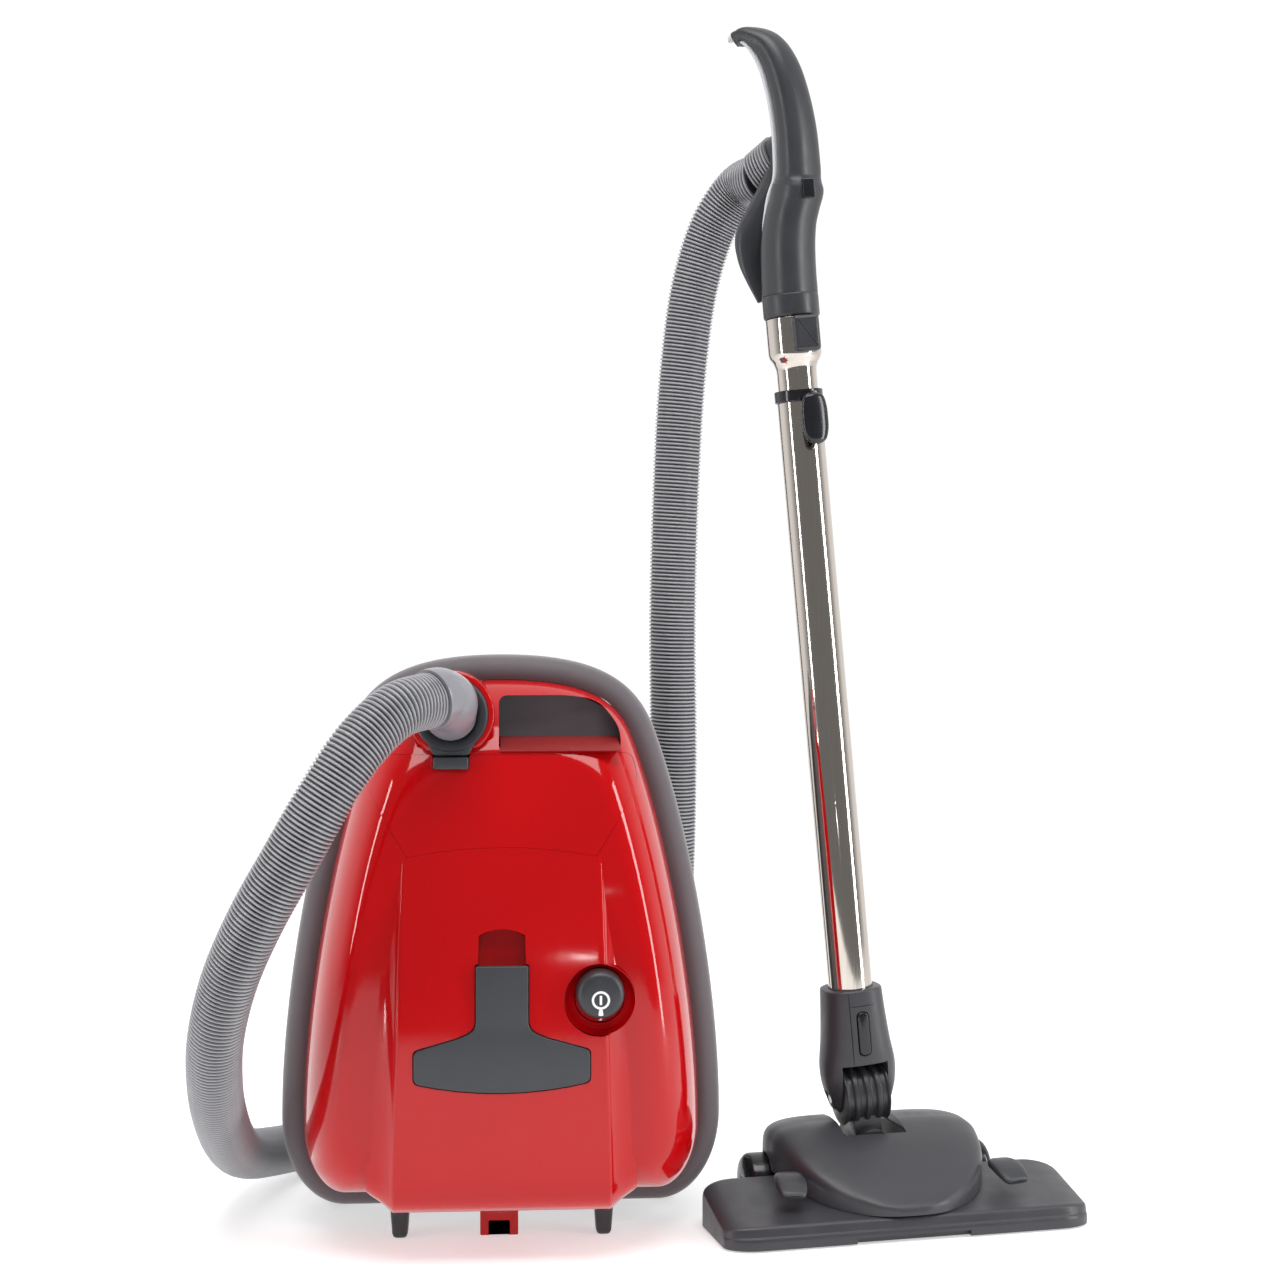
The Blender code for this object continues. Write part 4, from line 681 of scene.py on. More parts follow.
redShell = newObject("red_casing", domeSkin(-1, 0.0, 0.0002), canisterPlace)
bossEdge = roundedProfile([(0, 0.030), (0.0287, 0.030), (0.0287, 0.0800), (0.0255, 0.0806), (0, 0.0806)],
    0.0016)
carved(redShell, [tool(plateauSkin(0.0)), tool(turned(bossEdge, inletAt, front, 96))], "UNION")
carved(redShell, [
    tool(domeSkin(-1, shape["wall"], -0.02)), tool(plateauSkin(shape["wall"])),
    tool(slab(lidOutline(0.00015), -0.030, -0.150)), tool(slab(teeOutline(0.0006), -0.092, -0.150)),
    tool(slab(handleOutline(0.0), -0.026, -0.150)), tool(cylinder(0.0248, 0.025, 0.12, inletAt)),
    tool(cylinder(0.0235, 0.090, 0.14, wellAt)), tool(slab(fingerOutline(0.0), -0.095, -0.150))])
dressed(redShell, glossRed, "canister", ("upper_shell",), 32)

bagLid = newObject("bag_lid_skin", slab(lidOutline(0.0), -0.035, -0.150), canisterPlace)
carved(bagLid, [tool(domeSkin(-1, 0.0, 0.0002))], "INTERSECT")
carved(bagLid, [
    tool(domeSkin(-1, shape["wall"], -0.02)), tool(cylinder(0.0297, 0.03, 0.14, inletAt)),
    tool(slab(softCorners([(-0.0455, 0.3225), (-0.0215, 0.3225), (-0.0215, 0.3450), (-0.0455, 0.3450)],
    0.0015),
              -0.030, -0.120))])
dressed(bagLid, glossRed, "bag_lid", ("bag_lid",), 32)

latch = slab(softCorners([(-0.0451, 0.3228), (-0.0219, 0.3228), (-0.0219, 0.3308), (-0.0451, 0.3308)],
    0.0016),
             -0.0790, -0.0905, 0.0012)
dressed(newObject("lid_latch_tab", latch, canisterPlace), slateSatin, "lid_latch", ("lid_latch",))

filterCover = newObject("filter_cover_tee", slab(teeOutline(0.0), -0.1140, -0.1172, 0.0010, 6), canisterPlace)
dressed(filterCover, slateSatin, "filter_cover", ("filter_cover",), 50)

# Floor of the finger hollow: leans back upwards under the arch.
hollow = fingerOutline(-0.0002)
floorRings = [np.insert(hollow, 1, -0.1010 + 0.0060 * (hollow[:, 1] - 0.170) / 0.05, axis=1),
              np.insert(hollow, 1, -0.1100 + 0.0100 * (hollow[:, 1] - 0.170) / 0.05, axis=1)]
dressed(newObject("finger_hollow_floor", ringSkin(floorRings, ends="flat"), canisterPlace), glossRed,
        "canister")

scoop = [(0.0, 0.1000), (0.0233, 0.1000), (0.0233, 0.1120), (0.0228, 0.1120), (0.0218, 0.1094),
    (0.0200, 0.1072),
         (0.0176, 0.1058), (0.0163, 0.1054), (0.0163, 0.1034), (0.0043, 0.1026), (0.0043, 0.1012),
         (0.0, 0.1012)]
dressed(newObject("knob_scoop", turned(roundedProfile(scoop, 0.0008), wellAt, front, 96), canisterPlace),
    glossRed,
        "canister", ("knob_well",), 50)

knobProfile = [(0, 0.1034), (0.0146, 0.1034), (0.0157, 0.1050), (0.0155, 0.1180), (0.0151, 0.1205),
               (0.0142, 0.1222), (0.0125, 0.1233), (0.0100, 0.1239), (0.0060, 0.1242), (0, 0.1242)]
dressed(newObject("power_knob_cap", turned(roundedProfile(knobProfile, 0.0015), knobAt, front, 96),
    canisterPlace),
        charcoalSatin, "power_knob", ("power_knob",), 50)


def ringPlate(centre, outer, inner, back, lip, steps=48):
    # flat ring in X and Z, from back to lip along Y
    profile = [(inner, -back), (outer, -back), (outer, -lip), (inner, -lip)]
    return turned(profile, (centre[0], 0, centre[1]), front, steps)


symbolAt = (0.0635, 0.1762)
mark = joined([
    ringPlate(symbolAt, 0.0059, 0.0044, -0.1234, -0.12435),
    slab(softCorners([(0.0627, 0.1732), (0.0643, 0.1732), (0.0643, 0.1792), (0.0627, 0.1792)], 0.0005),
         -0.1234, -0.12435, 0.0001),
    slab(softCorners([(0.0618, 0.1662), (0.0652, 0.1662), (0.0645, 0.1706), (0.0625, 0.1706)], 0.0009),
         -0.1228, -0.12435, 0.0001)])
dressed(newObject("power_mark", mark, canisterPlace), whitePrint, "power_knob")

# Carry handle: slate tray, in a lighter slate that is painted light against the shade of the recess, and a
# red shelf that slopes up to its back.
tray = newObject("handle_tray", slab(handleOutline(0.0020), -0.0300, -0.150), canisterPlace)
carved(tray, [tool(domeSkin(-1, shape["wall"] + 0.0003, 0.001))], "INTERSECT")
carved(tray, [tool(slab(handleOutline(0.0002), -0.0322, -0.160)), tool(cylinder(0.0255, 0.0, 0.14, inletAt))])
dressed(tray, trayLightenedSlate, "canister", ("handle_recess",))
shelfSide = np.array([(-0.0320, 0.3342), (-0.0835, 0.3342), (-0.0835, 0.3350), (-0.0320, 0.3415)])
shelfRings = [np.insert(shelfSide, 0, x, axis=1) for x in (-0.0010, 0.0790)]
dressed(newObject("handle_shelf", ringSkin(shelfRings, ends="flat"), canisterPlace), shelfRed, "canister")

collar = [(0.0172, 0.0280), (0.0245, 0.0280), (0.0245, 0.0850), (0.0242, 0.0870), (0.0232, 0.0880),
    (0.0218, 0.0878),
          (0.0190, 0.0850), (0.0176, 0.0835), (0.0172, 0.0820), (0.0172, 0.0280)]
chin = softCorners([(-0.0500, 0.3420), (-0.0452, 0.3314), (-0.0218, 0.3314), (-0.0170, 0.3420)],
                   (0.001, 0.0035, 0.0035, 0.001))
collarPiece = newObject("inlet_collar_ring", turned(collar, inletAt, front, 96), canisterPlace)
chinPiece = newObject("chin", slab(chin, -0.0798, -0.0862, 0.0010), canisterPlace)
carved(chinPiece, [tool(cylinder(0.0240, 0.0, 0.12, inletAt))])
carved(collarPiece, [chinPiece], "UNION")
dressed(collarPiece, slateSatin, "canister", ("inlet_collar",), 40)

# Belt: one closed section run round the outline, softly domed outside.
beltLook = {"section": [(0.0170, -0.0185), (0.0135, -0.0197), (0.0100, -0.0200), (0.0062, -0.0188),
    (0.0030, -0.0162),
                        (0.0010, -0.0120), (0.0002, -0.0060), (0.0, 0.0020), (0.0002, 0.0100),
                        (0.0012, 0.0160),
                        (0.0032, 0.0208), (0.0066, 0.0240), (0.0100, 0.0250), (0.0138, 0.0249),
                        (0.0170, 0.0240)]}
beltKeys = smoothKeys(beltLook["section"], 60)
beltRings = [np.insert(canisterOutline(inset), 1, y, axis=1) for inset, y in beltKeys]
belt = newObject("bumper_belt", ringSkin(beltRings, loop=True), canisterPlace)
dressed(belt, beltCover, "canister", ("airbelt",), 60)
print("front of the canister ready")

# Belly with its wheel wells, caster boss and vents.
belly = newObject("belly_casing", domeSkin(1, 0.0, 0.0002), canisterPlace)
casterAt = (0.0, float(backDepth(0.33)), 0.33)
boss = roundedProfile([(0, -0.0060), (0.0175, -0.0060), (0.0175, 0.0035), (0.0160, 0.0050), (0, 0.0050)],
    0.001)
wellBlocks = [np.array([(side * 0.1005, y, z) for y, z in ((0.030, 0.0333), (0.087, 0.0333), (0.087, 0.080),
                                                           (0.030, 0.080))]) for side in (-1, 1)]
carved(belly, [tool(domeSkin(1, shape["wall"], -0.02))])
carved(belly, [tool(turned(boss, casterAt, (0, 1, 0), 64))] + [
    tool(ringSkin([corners, corners + [side * 0.0225, 0, 0]], ends="flat"))
    for side, corners in zip((-1, 1), wellBlocks)], "UNION")
wells = [tool(cylinder(0.0395, 0.1040, 0.17, (0, 0.0690, 0.0360), (side, 0, 0))) for side in (-1, 1)]
vents = [tool(slab(softCorners([(-0.040 + 0.016 * i - 0.0035, 0.150), (-0.040 + 0.016 * i + 0.0035, 0.150),
                                (-0.040 + 0.016 * i + 0.0035, 0.205),
                                (-0.040 + 0.016 * i - 0.0035, 0.205)], 0.0034),
                   0.0885, 0.100)) for i in range(6)]
carved(belly, wells + vents)
dressed(belly, bellySatin, "canister", ("belly_shell",), 32)

for side, word in ((-1, "left"), (1, "right")):
    tyre = roundedProfile([(0.0044, -0.0065), (0.012, -0.0085), (0.0318, -0.0095), (0.0360, -0.0075),
        (0.0360, 0.0075),
                           (0.0318, 0.0095), (0.0265, 0.0092), (0.0240, 0.0066), (0.012, 0.0062),
                           (0.0110, 0.0058),
                           (0.0044, 0.0055)], 0.002)
    wheel = turned(np.vstack([tyre, [(0.0044, -0.0065)]]), (side * 0.1175, 0.0690, 0.0360), (side, 0, 0), 96)
    dressed(newObject(f"rear_wheel_{word}_tyre", wheel, canisterPlace), blackRubber, f"rear_wheel_{word}",
            (f"rear_wheel_{word}",), 50)
    foot = np.array([(side * 0.0695, -0.0330, z) for z in (0.0, 0.0008, 0.0030, 0.0200, 0.0325)])
    sizes = [(0.0034, 0.0052), (0.0046, 0.0066), (0.0054, 0.0078), (0.0066, 0.0095), (0.0068, 0.0098)]
    dressed(newObject(f"parking_foot_{word}", sweptBody(foot, sizes, power=5.0), canisterPlace),
        charcoalSatin,
            "canister", (f"foot_{word}",), 50)

bracketOutline = softCorners([(-0.0150, 0.0010), (-0.0085, 0.0010), (-0.0085, 0.0105), (0.0045, 0.0105),
                              (0.0045, 0.0010), (0.0110, 0.0010), (0.0110, 0.0325), (-0.0150, 0.0325)],
                             (0.001, 0.0006, 0.0006, 0.0006, 0.0006, 0.001, 0.0006, 0.0006))
dressed(newObject("parking_hook", slab(bracketOutline, -0.0290, -0.0400, 0.0008), canisterPlace), glossRed,
        "canister", ("parking_bracket",), 50)

# Elbow: smooth pale bend from the collar to the hose's first rib.
hoseStart = np.array(hoseLook["route"][0]) - [-0.1330, 0.0, 0.0]
startWay = (hoseLine[20] - hoseLine[0]) / np.linalg.norm(hoseLine[20] - hoseLine[0])
mouth = hoseStart - startWay * 0.0003
elbowKeys = [(-0.0335, -0.0310, 0.3585, 0.0168), (-0.0335, -0.0550, 0.3585, 0.0168),
             (-0.0335, -0.0850, 0.3585, 0.0168), (-0.0342, -0.0950, 0.3605, 0.0176)]
elbowKeys += [(*(mouth - startWay * back + [shift, 0, rise]), radius) for back, shift, rise, radius in
              ((0.0225, -0.0040, -0.0058, 0.0192), (0.0110, -0.0012, -0.0012, 0.0198),
              (0.0045, 0.0, 0.0, 0.0198),
               (0.0, 0.0, 0.0, 0.0196))]
elbowLine = smoothKeys(elbowKeys, 70)
elbow = sweptBody(elbowLine[:, :3], elbowLine[:, [3, 3]], sides=72)
dressed(newObject("hose_elbow_bend", elbow, canisterPlace), elbowGrey, "hose_elbow",
    ("hose_elbow",), 60)
print("canister ready")

# Floor head

headLook = {
    "section": [(-0.0400, 0.0012), (-0.0400, 0.0072), (-0.0392, 0.0092), (-0.0380, 0.0098), (-0.0376, 0.0118),
                (-0.0366, 0.0150), (-0.0350, 0.0163), (-0.0310, 0.0170), (0.0340, 0.0303), (0.0370, 0.0300),
                (0.0400, 0.0262), (0.0400, 0.0012)],
    "corner": (0.0004, 0.0010, 0.0008, 0.0006, 0.0006, 0.0014, 0.0012, 0.0030, 0.0030, 0.0020, 0.0030,
    0.0004),
    "half": 0.1320, "endRound": 0.0240, "endPull": 0.0150, "endDrop": 0.0070,
    "hood": [(-0.0388, 0.0080, 0.0205), (-0.0372, 0.0165, 0.0232), (-0.0335, 0.0270, 0.0262),
    (-0.0220, 0.0460, 0.0335),
             (-0.0050, 0.0610, 0.0440), (0.0150, 0.0712, 0.0552), (0.0350, 0.0760, 0.0628),
             (0.0480, 0.0768, 0.0644),
             (0.0600, 0.0766, 0.0642), (0.0745, 0.0735, 0.0615), (0.0800, 0.0685, 0.0545)]}


def plateSkin(thinner, low):
    # one section carried along X; near each end it draws in and down by 1 - sqrt(1 - t squared)
    half = headLook["half"] - thinner
    section = inwards(softCorners(headLook["section"], headLook["corner"]), thinner)
    t = np.linspace(0, 1, 14)
    ends = half - headLook["endRound"] * (1 - np.sin(t * np.pi / 2))
    xs = np.concatenate([-ends[::-1], np.linspace(-ends[0], ends[0], 30)[1:-1], ends])
    rings = []
    for x in xs:
        s = np.clip((abs(x) - (half - headLook["endRound"])) / headLook["endRound"], 0, 1)
        fall = 1 - math.sqrt(max(0.0, 1 - s * s))
        y = section[:, 0] * (1 - fall * headLook["endPull"] / 0.04)
        z = low + (section[:, 1] - 0.0012) * (1 - fall * headLook["endDrop"] / 0.0291)
        rings.append(np.stack([np.full(len(y), x), y, z], 1))
    return ringSkin(rings, ends="flat")


def block(low, high):
    x0, y0, z0 = low
    x1, y1, z1 = high
    ring = np.array([(x0, y0, z0), (x1, y0, z0), (x1, y1, z0), (x0, y1, z0)])
    return ringSkin([ring, ring + [0, 0, z1 - z0]], ends="flat")


plate = newObject("head_lower_housing", plateSkin(0.0, 0.0012), headPlace)
carved(plate, [tool(plateSkin(shape["wall"], -0.010), headPlace),
               tool(block((-0.0420, -0.0500, -0.0100), (0.0400, -0.0360, 0.0050)), headPlace),
               tool(block((-0.0200, 0.0100, 0.0080), (0.0200, 0.0330, 0.0400)), headPlace),
               tool(block((-0.1060, -0.0353, -0.0100), (0.1060, -0.0297, 0.0128)), headPlace),
               tool(block((-0.1060, 0.0272, -0.0100), (0.1060, 0.0328, 0.0128)), headPlace)])
dressed(plate, headSatin, "canister", ("head_plate",), 35)


def hoodSkin():
    # arches at stations along Y: x = half cos^0.40, z = base + rise sin^0.34, flat topped with round
    # shoulders
    stations = smoothKeys(headLook["hood"], 80)
    turn = np.linspace(-1, 1, 60)
    angle = np.pi / 2 * (1 + np.sign(turn) * np.abs(turn) ** 0.8)
    across = np.sign(np.cos(angle)) * np.abs(np.cos(angle)) ** 0.40
    up = np.abs(np.sin(angle)) ** 0.34
    rings = []
    for y, half, top in stations:
        base = float(np.interp(y, (-0.031, 0.036), (0.0170, 0.0310))) + 0.0004
        ring = np.stack([across * half, np.full(60, y), base + 0.001 + (top - base - 0.001) * up], 1)
        rings.append(np.vstack([[(-half, y, base), (half, y, base)], ring]))
    return ringSkin(rings)


hood = newObject("head_hood_shell", hoodSkin(), headPlace)
carved(hood, [tool(block((-0.0290, 0.0225, 0.0345), (0.0170, 0.0900, 0.1000)), headPlace)] + [
    tool(cylinder(0.0220, 0.0645, 0.13, (0, 0.0615, 0.0200), (side, 0, 0)), headPlace) for side in (-1, 1)])
dressed(hood, headSatin, "canister", ("head_hood",), 35)

# Black blocks that line the slot the neck sits in: painted shade inside the slot.
slotShade = joined([block((-0.0288, 0.0228, 0.0347), (0.0168, 0.0744, 0.0368)),
                 block((-0.0288, 0.0228, 0.0369), (0.0168, 0.0238, 0.0572)),
                 block((-0.0288, 0.0239, 0.0369), (-0.0280, 0.0720, 0.0590)),
                 block((0.0160, 0.0239, 0.0369), (0.0168, 0.0720, 0.0590))])
dressed(newObject("neck_slot_painted_shade", slotShade, headPlace), blackRubber, "canister")

for side, word in ((-1, "left"), (1, "right")):
    roller = roundedProfile([(0.0034, -0.0130), (0.0170, -0.0130), (0.0200, -0.0100), (0.0200, 0.0095),
        (0.0165, 0.0130),
                             (0.0110, 0.0138), (0.0060, 0.0140), (0.0034, 0.0138), (0.0034, -0.0130)], 0.0022)
    dressed(newObject(f"head_roller_{word}_skin",
                      turned(roller, (side * 0.0790, 0.0615, 0.0200), (side, 0, 0), 80), headPlace),
            blackGloss, f"head_roller_{word}", (f"head_roller_{word}",), 50)
    out = side * 0.0180
    pedalKeys = smoothKeys([(out, 0.0062, 0.0075, 0.0070, 0.0026),
        (out * 1.02, 0.0030, 0.0086, 0.0092, 0.0036),
                            (out * 1.07, -0.0040, 0.0084, 0.0104, 0.0039),
                            (out * 1.12, -0.0120, 0.0062, 0.0105, 0.0036),
                            (out * 1.17, -0.0195, 0.0028, 0.0090, 0.0028),
                            (out * 1.19, -0.0222, 0.0014, 0.0070, 0.0016)], 50)
    pedalPlace = headPlace @ Matrix.Translation((side * 0.0600, -0.0020, 0.02975))
    dressed(newObject(f"pedal_{word}_lever", sweptBody(pedalKeys[:, :3], pedalKeys[:, 3:], power=3.4),
        pedalPlace),
            charcoalSatin, f"pedal_{word}", (f"pedal_{word}",), 60)
print("floor head ready")

# Neck and wand

drumLook = {"half": 0.0165, "radius": 0.0197, "ribHigh": 0.0018, "ribPitch": 0.0083, "edge": 0.0195}
across = np.linspace(-drumLook["half"], drumLook["half"], 67)
ribWave = np.clip(0.5 + 1.1 * np.cos(2 * np.pi * across / drumLook["ribPitch"]), 0, 1)
ribs = drumLook["radius"] + drumLook["ribHigh"] * ribWave
ribs[[0, -1]] = drumLook["edge"]
drumProfile = np.vstack([[(0, -drumLook["half"])], np.stack([ribs, across], 1), [(0, drumLook["half"])]])
drum = turned(drumProfile, (0, 0, 0.0330), (1, 0, 0), 96)
stem = block((-0.0100, -0.0130, 0.0020), (0.0100, 0.0130, 0.0290))
neckParts = newObject("neck_drum_ribbed", drum, neckPlace)
carved(neckParts, [tool(stem, neckPlace), tool(cylinder(0.0110, -0.0220, 0.0220, (0, 0, 0), (0, 1, 0)),
    neckPlace)],
       "UNION")
carved(neckParts, [tool(cylinder(0.0054, -0.02, 0.02, (0, 0, 0.0330), (1, 0, 0)), neckPlace)])
dressed(neckParts, charcoalSatin, "neck", ("neck_drum",), 35)

# Fork: height, half width and half depth at each key.
forkLook = [(-0.0125, 0.0176, 0.0060), (-0.0100, 0.0200, 0.0088), (-0.0060, 0.0225, 0.0115),
    (0.0080, 0.0262, 0.0170),
            (0.0220, 0.0268, 0.0202), (0.0400, 0.0241, 0.0213), (0.0600, 0.0221, 0.0214),
            (0.0735, 0.0212, 0.0211),
            (0.0758, 0.0208, 0.0207), (0.0765, 0.0198, 0.0198)]
forkKeys = smoothKeys(forkLook, 110)
forkPath = np.stack([np.zeros(110), np.zeros(110), forkKeys[:, 0]], 1)
fork = newObject("neck_fork_skin", sweptBody(forkPath, forkKeys[:, 1:], power=2.6, sides=96), wandPlace)
grooves = [tool(block((-0.0092, -0.0300, 0.0245), (-0.0086, -0.0196, 0.0800)), wandPlace),
           tool(block((-0.0088, -0.0300, 0.0655), (0.0300, -0.0204, 0.0661)), wandPlace)]
carved(fork, grooves + [
    tool(block((-0.0170, -0.0300, -0.0300), (0.0170, 0.0300, 0.0235)), wandPlace),
    tool(cylinder(0.0161, 0.0180, 0.09, (0, 0, 0), (0, 0, 1)), wandPlace),
    tool(cylinder(0.0053, -0.04, 0.04, (0, 0, 0), (1, 0, 0)), wandPlace),
    tool(slab(softCorners([(-0.0048, 0.0300), (0.0048, 0.0300), (0.0048, 0.0620), (-0.0048, 0.0620)], 0.0046),
              -0.0163, -0.0300, 0.0001), wandPlace)])
dressed(fork, headSatin, "wand_lower", ("neck_fork",), 35)
catch = slab(softCorners([(-0.0042, 0.0306), (0.0042, 0.0306), (0.0042, 0.0614), (-0.0042, 0.0614)], 0.0041),
             -0.0193, -0.0222, 0.0010)
dressed(newObject("neck_latch_key", catch, wandPlace), blackGloss, "neck_latch", ("neck_latch",), 50)

tubeEdge = [(0.0148, 0.0260), (0.0158, 0.0260), (0.0158, 0.4995), (0.0153, 0.5005), (0.0148, 0.5005),
    (0.0148, 0.0260)]
dressed(newObject("lower_tube_plated", turned(tubeEdge, sides=96), wandPlace), chromeTube, "wand_lower",
        ("lower_tube",), 40)
tubeLip = roundedProfile([(0.0159, 0.4950), (0.0172, 0.4950), (0.0172, 0.5030), (0.0146, 0.5030),
    (0.0146, 0.5008),
                          (0.0159, 0.5008), (0.0159, 0.4950)], 0.0006)
buttonTurn = math.radians(-82.0)
buttonWay = np.array([math.cos(buttonTurn), math.sin(buttonTurn), 0.0])
buttonSide = np.array([-buttonWay[1], buttonWay[0], 0.0])
# The lip is open behind the button, which is pressed into the gap.
lip = newObject("lower_tube_lip", turned(tubeLip, sides=96), wandPlace)
lipGap = np.array([buttonWay * out + buttonSide * side + [0, 0, 0.4935] for out, side in
                   ((0.0160, -0.0104), (0.0300, -0.0104), (0.0300, 0.0104), (0.0160, 0.0104))])
carved(lip, [tool(ringSkin([lipGap, lipGap + [0, 0, 0.0076]], ends="flat"), wandPlace)])
dressed(lip, blackGloss, "wand_lower", (), 50)

buttonKeys = smoothKeys([(0.0040, 0.4632, 0.0022, 0.0010), (0.0041, 0.4646, 0.0052, 0.0026),
    (0.0042, 0.4672, 0.0078, 0.0037),
                         (0.0042, 0.4740, 0.0097, 0.0042), (0.0042, 0.4830, 0.0100, 0.0043),
                         (0.0042, 0.4900, 0.0096, 0.0042),
                         (0.0042, 0.4960, 0.0080, 0.0038), (0.0041, 0.4982, 0.0055, 0.0026),
                         (0.0040, 0.4992, 0.0022, 0.0010)], 60)
buttonPath = buttonWay * (0.0180 + buttonKeys[:, :1]) + np.array([0, 0, 1.0]) * buttonKeys[:, 1:2]
button = sweptBody(buttonPath, buttonKeys[:, 2:], buttonSide, 2.4, 64)
dressed(newObject("telescope_button_cap", button, wandPlace), blackGloss, "telescope_button",
        ("telescope_button",), 60)

upperEdge = [(0.0132, 0.1000), (0.0142, 0.1000), (0.0142, 0.5150), (0.0144, 0.5185), (0.0158, 0.5225),
    (0.0180, 0.5258),
             (0.0189, 0.5285), (0.0190, 0.5330), (0.0190, 0.5540), (0.0178, 0.5540), (0.0178, 0.5290),
             (0.0132, 0.5195),
             (0.0132, 0.1000)]
dressed(newObject("upper_tube_plated", turned(roundedProfile(upperEdge, 0.0010), sides=96), wandPlace),
    chromeTube,
        "wand_upper", ("upper_tube",), 40)

# Grip: path point, half width and half thickness at each key, up to the hooked end.
gripAcross = (0.90, 0.43, 0.0)
gripLook = [
    (0.0, 0.0, 0.5702, 0.0183, 0.0187), (0.0002, 0.0, 0.5760, 0.0182, 0.0187),
    (0.0005, 0.0, 0.5850, 0.0180, 0.0185),
    (0.0015, -0.0010, 0.6050, 0.0178, 0.0181), (0.0040, -0.0030, 0.6220, 0.0173, 0.0173),
    (0.0075, -0.0053, 0.6340, 0.0170, 0.0168), (0.0092, -0.0066, 0.6400, 0.0173, 0.0169),
    (0.0104, -0.0075, 0.6440, 0.0174, 0.0166), (0.0110, -0.0080, 0.6475, 0.0168, 0.0150),
    (0.0115, -0.0084, 0.6515, 0.0161, 0.0128), (0.0122, -0.0090, 0.6600, 0.0159, 0.0119),
    (0.0125, -0.0090, 0.6850, 0.0151, 0.0112), (0.0105, -0.0080, 0.7100, 0.0142, 0.0105),
    (0.0060, -0.0060, 0.7320, 0.0132, 0.0098), (-0.0010, -0.0020, 0.7470, 0.0118, 0.0087),
    (-0.0110, 0.0040, 0.7545, 0.0100, 0.0068), (-0.0185, 0.0083, 0.7545, 0.0082, 0.0052),
    (-0.0215, 0.0100, 0.7532, 0.0060, 0.0034)]
gripKeys = smoothKeys(gripLook, 200)
gripBody = sweptBody(gripKeys[:, :3], gripKeys[:, 3:], gripAcross, 2.5, 80)
gripCollar = turned(roundedProfile([(0, 0.5315), (0.0162, 0.5315), (0.0162, 0.5543), (0.0194, 0.5545),
    (0.0200, 0.5560),
                                    (0.0200, 0.5690), (0.0196, 0.5704), (0, 0.5704)], 0.0008), sides=96)
dressed(newObject("handle_grip_body", joined([gripCollar, gripBody]), wandPlace), charcoalSatin, "wand_upper",
        ("handle_grip",), 50)

inlayKeys = smoothKeys([row for row in gripLook if 0.600 < row[2] < 0.7546][:-1], 120)
inlayPath = (inlayKeys[:, :3] + np.array([-0.43, 0.90, 0.0]) * (inlayKeys[:, 4:5] - 0.0004)
             + np.array([-0.90, -0.43, 0.0]) * 0.0058)
inlaySizes = np.stack([np.interp(np.linspace(0, 1, 120), (0, 0.15, 0.5, 0.85, 1),
    (0.002, 0.0075, 0.0085, 0.0070, 0.003)),
                       np.full(120, 0.0022)], 1)
dressed(newObject("grip_inlay_strip", sweptBody(inlayPath, inlaySizes, gripAcross, 3.0, 32), wandPlace),
    inlayGrey,
        "wand_upper", ("grip_inlay",), 60)

# Cuff and stub that bring the hose into the handle. The cuff is round about the axis of its swivel. The
# end of the hose runs at an angle to that axis, so the two overlap.
cuffLook = {"axis": (0.60797, -0.65053, 0.45517), "gap": 0.0008, "reach": 0.0215, "length": 0.0213,
    "radius": 0.0196}
wandBack = wandPlace.inverted()
endWay = np.array(cuffLook["axis"])
cuffWay = np.array(wandBack.to_3x3()) @ endWay
cuffEnd = placed([hoseLine[-1] + endWay * cuffLook["gap"]], wandBack)[0]
cuffRoot = cuffEnd + cuffWay * cuffLook["reach"]
cuffRun = np.linspace(0.0, cuffLook["length"], 47)
cuffCrown = np.clip(0.5 + 0.75 * np.cos(2 * np.pi * cuffRun / hoseLook["pitch"]), 0, 1)
cuffProfile = np.stack([cuffLook["radius"] - hoseLook["ribDepth"] * (1 - cuffCrown), cuffRun], 1)
cuffProfile = np.vstack([[(0, 0.0)], cuffProfile, [(0, cuffLook["length"])]])
cuffPiece = newObject("hose_cuff_ring", turned(cuffProfile, cuffRoot, -cuffWay, 96), wandPlace)
cuffShade = np.concatenate([np.repeat(cuffCrown, 96), [0.0, 0.0]]).astype(np.float32)
cuffPiece.data.attributes.new("crown", "FLOAT", "POINT").data.foreach_set("value", cuffShade)
dressed(cuffPiece, hoseVinyl, "hose_cuff", ("hose_cuff",), 60)
stubTop = cuffRoot + cuffWay * 0.0003
stubKeys = smoothKeys([(-0.0080, 0.0240, 0.5720, 0.0090, 0.0024), (-0.0130, 0.0274, 0.5900, 0.0105, 0.0044),
                       (-0.0160, 0.0290, 0.6040, 0.0112, 0.0066), (-0.0138, 0.0298, 0.6180, 0.0130, 0.0086),
                       (-0.0030, 0.0285, 0.6350, 0.0132, 0.0106), (0.0085, 0.0245, 0.6540, 0.0142, 0.0124),
                       (0.0140, 0.0215, 0.6740, 0.0125, 0.0095)], 80)
stub = newObject("hose_stub_arm", sweptBody(stubKeys[:, :3], stubKeys[:, 3:], power=2.2, sides=72), wandPlace)
socket = roundedProfile([(0, 0.0), (0.0175, 0.0), (0.0180, 0.0020), (0.0180, 0.0140), (0.0150, 0.0170),
    (0, 0.0170)], 0.001)
carved(stub, [tool(turned(socket, stubTop, cuffWay, 96), wandPlace)], "UNION")
carved(stub, [tool(cylinder(0.0217, -0.0450, 0.0, stubTop, cuffWay), wandPlace)])
dressed(stub, charcoalSatin, "wand_upper", ("hose_stub",), 40)

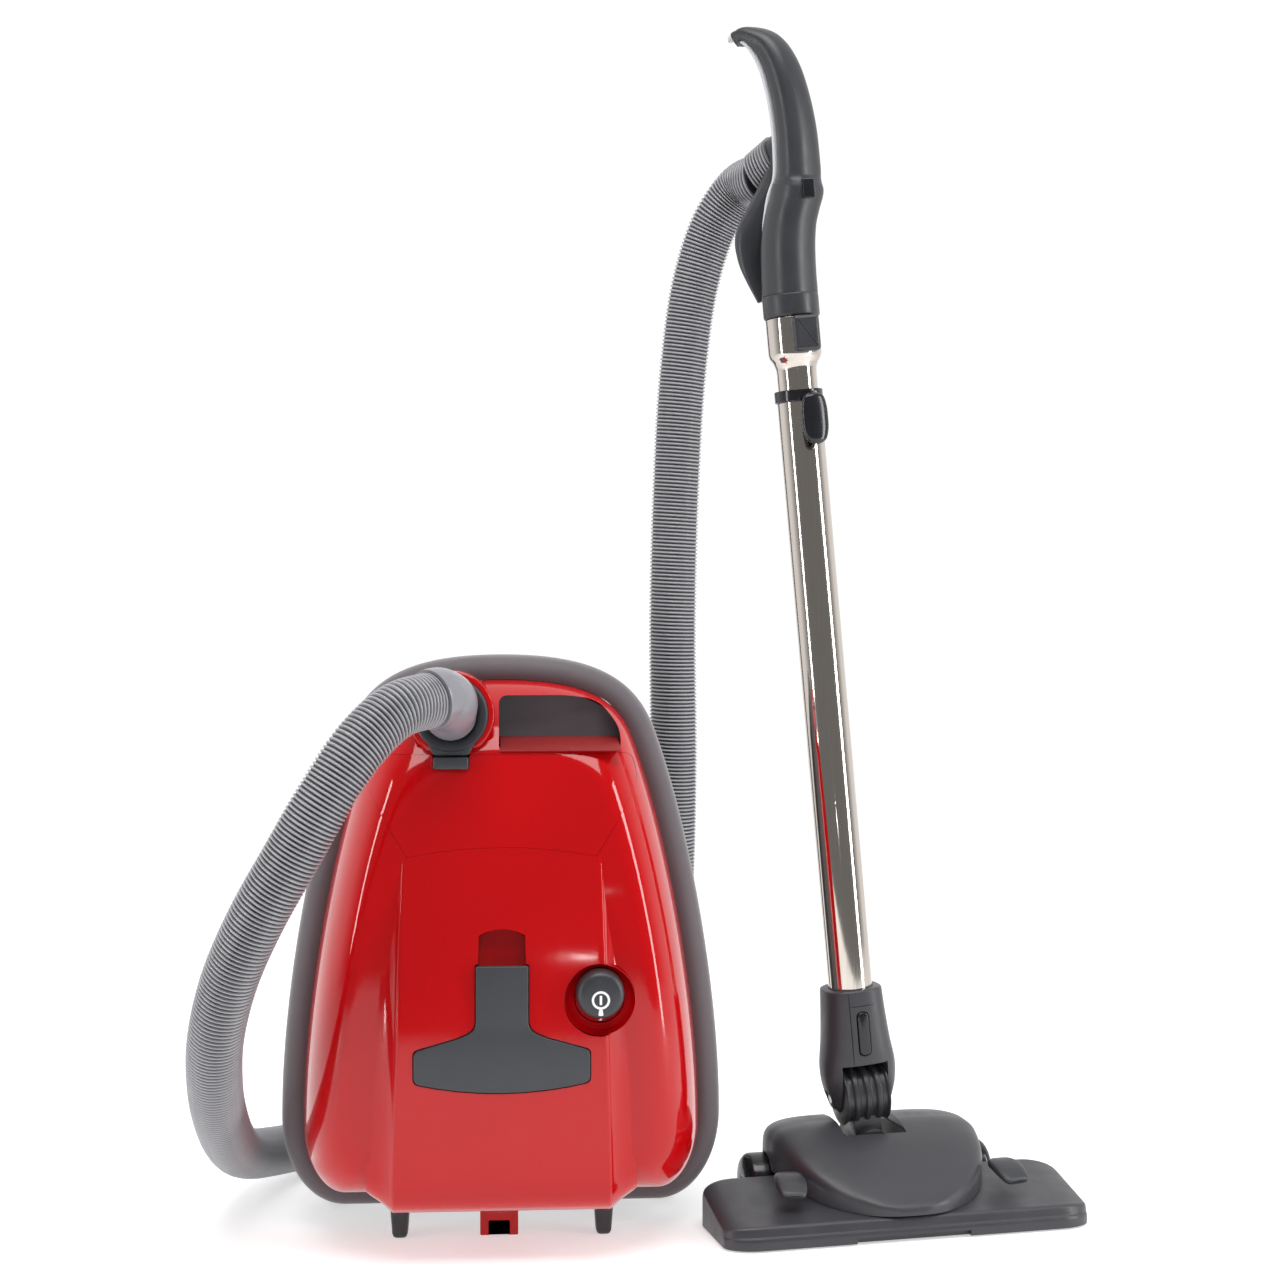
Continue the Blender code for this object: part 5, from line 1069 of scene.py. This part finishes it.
sliderKey = slab(softCorners([(0.0075, 0.6340), (0.0165, 0.6340), (0.0165, 0.6480), (0.0075, 0.6480)],
    0.0012),
                 -0.0240, -0.0264, 0.0009)
dressed(newObject("airflow_slider_key", sliderKey, wandPlace), blackGloss, "airflow_slider",
        ("airflow_slider",), 50)
releaseSleeve = slab(softCorners([(-0.0070, 0.5285), (0.0125, 0.5285), (0.0125, 0.5541),
    (-0.0070, 0.5541)], 0.0036),
                     -0.0150, -0.0238, 0.0032, 8)
releaseKey = newObject("handle_release_key", releaseSleeve, wandPlace)
dressed(releaseKey, charcoalSatin, "handle_release", ("handle_release",), 50)
# Its broad ends stay flat, so that only the rolled edges shade round.
for face in releaseKey.data.polygons:
    face.use_smooth = len(face.vertices) < 12
print("wand ready")

# Floor, sky and lights

ground = newObject("studio_floor", block((-4.0, -1.15, -0.02), (4.0, 6.0, 0.0)))
ground.data.materials.append(floorFinish("pale_floor", {"colour": "#d8d8d8", "glow": 0.76}))

# The sky is white behind the object and dim in front of it, so that the gloss stays deep.
world = bpy.data.worlds.new("studio")
bpy.context.scene.world = world
world.use_nodes = True
skyTree = world.node_tree
sky = skyTree.nodes["Background"]
skyWay = addNode(skyTree, "ShaderNodeTexCoord").outputs["Generated"]
skyParts = addNode(skyTree, "ShaderNodeSeparateXYZ", Vector=skyWay)
skyRamp = addNode(skyTree, "ShaderNodeMapRange", i0=skyParts.outputs["Y"], i1=-0.30, i2=0.30, i3=0.22,
    i4=1.05)
skyTree.links.new(skyRamp.outputs[0], sky.inputs["Strength"])
sky.inputs["Color"].default_value = (1.0, 1.0, 1.0, 1.0)


def softbox(name, place, target, size, power):
    data = bpy.data.lights.new(name, "AREA")
    data.shape = "RECTANGLE"
    data.size, data.size_y = size
    data.energy = power
    made = bpy.data.objects.new(name, data)
    made.location = place
    made.rotation_euler = (Vector(target) - Vector(place)).to_track_quat("-Z", "Y").to_euler()
    bpy.context.scene.collection.objects.link(made)


softbox("right_strip", (1.25, -0.55, 0.60), (0, 0, 0.28), (0.22, 1.3), 11)
softbox("left_strip", (-1.35, -0.60, 0.60), (-0.1, 0, 0.28), (0.12, 1.3), 7)
softbox("top_panel", (0.0, -0.90, 2.30), (0, 0, 0.2), (2.0, 1.1), 40)
softbox("window", (0.011, -2.30, 0.33), (-0.07, -0.10, 0.20), (0.032, 0.032), 0.14)
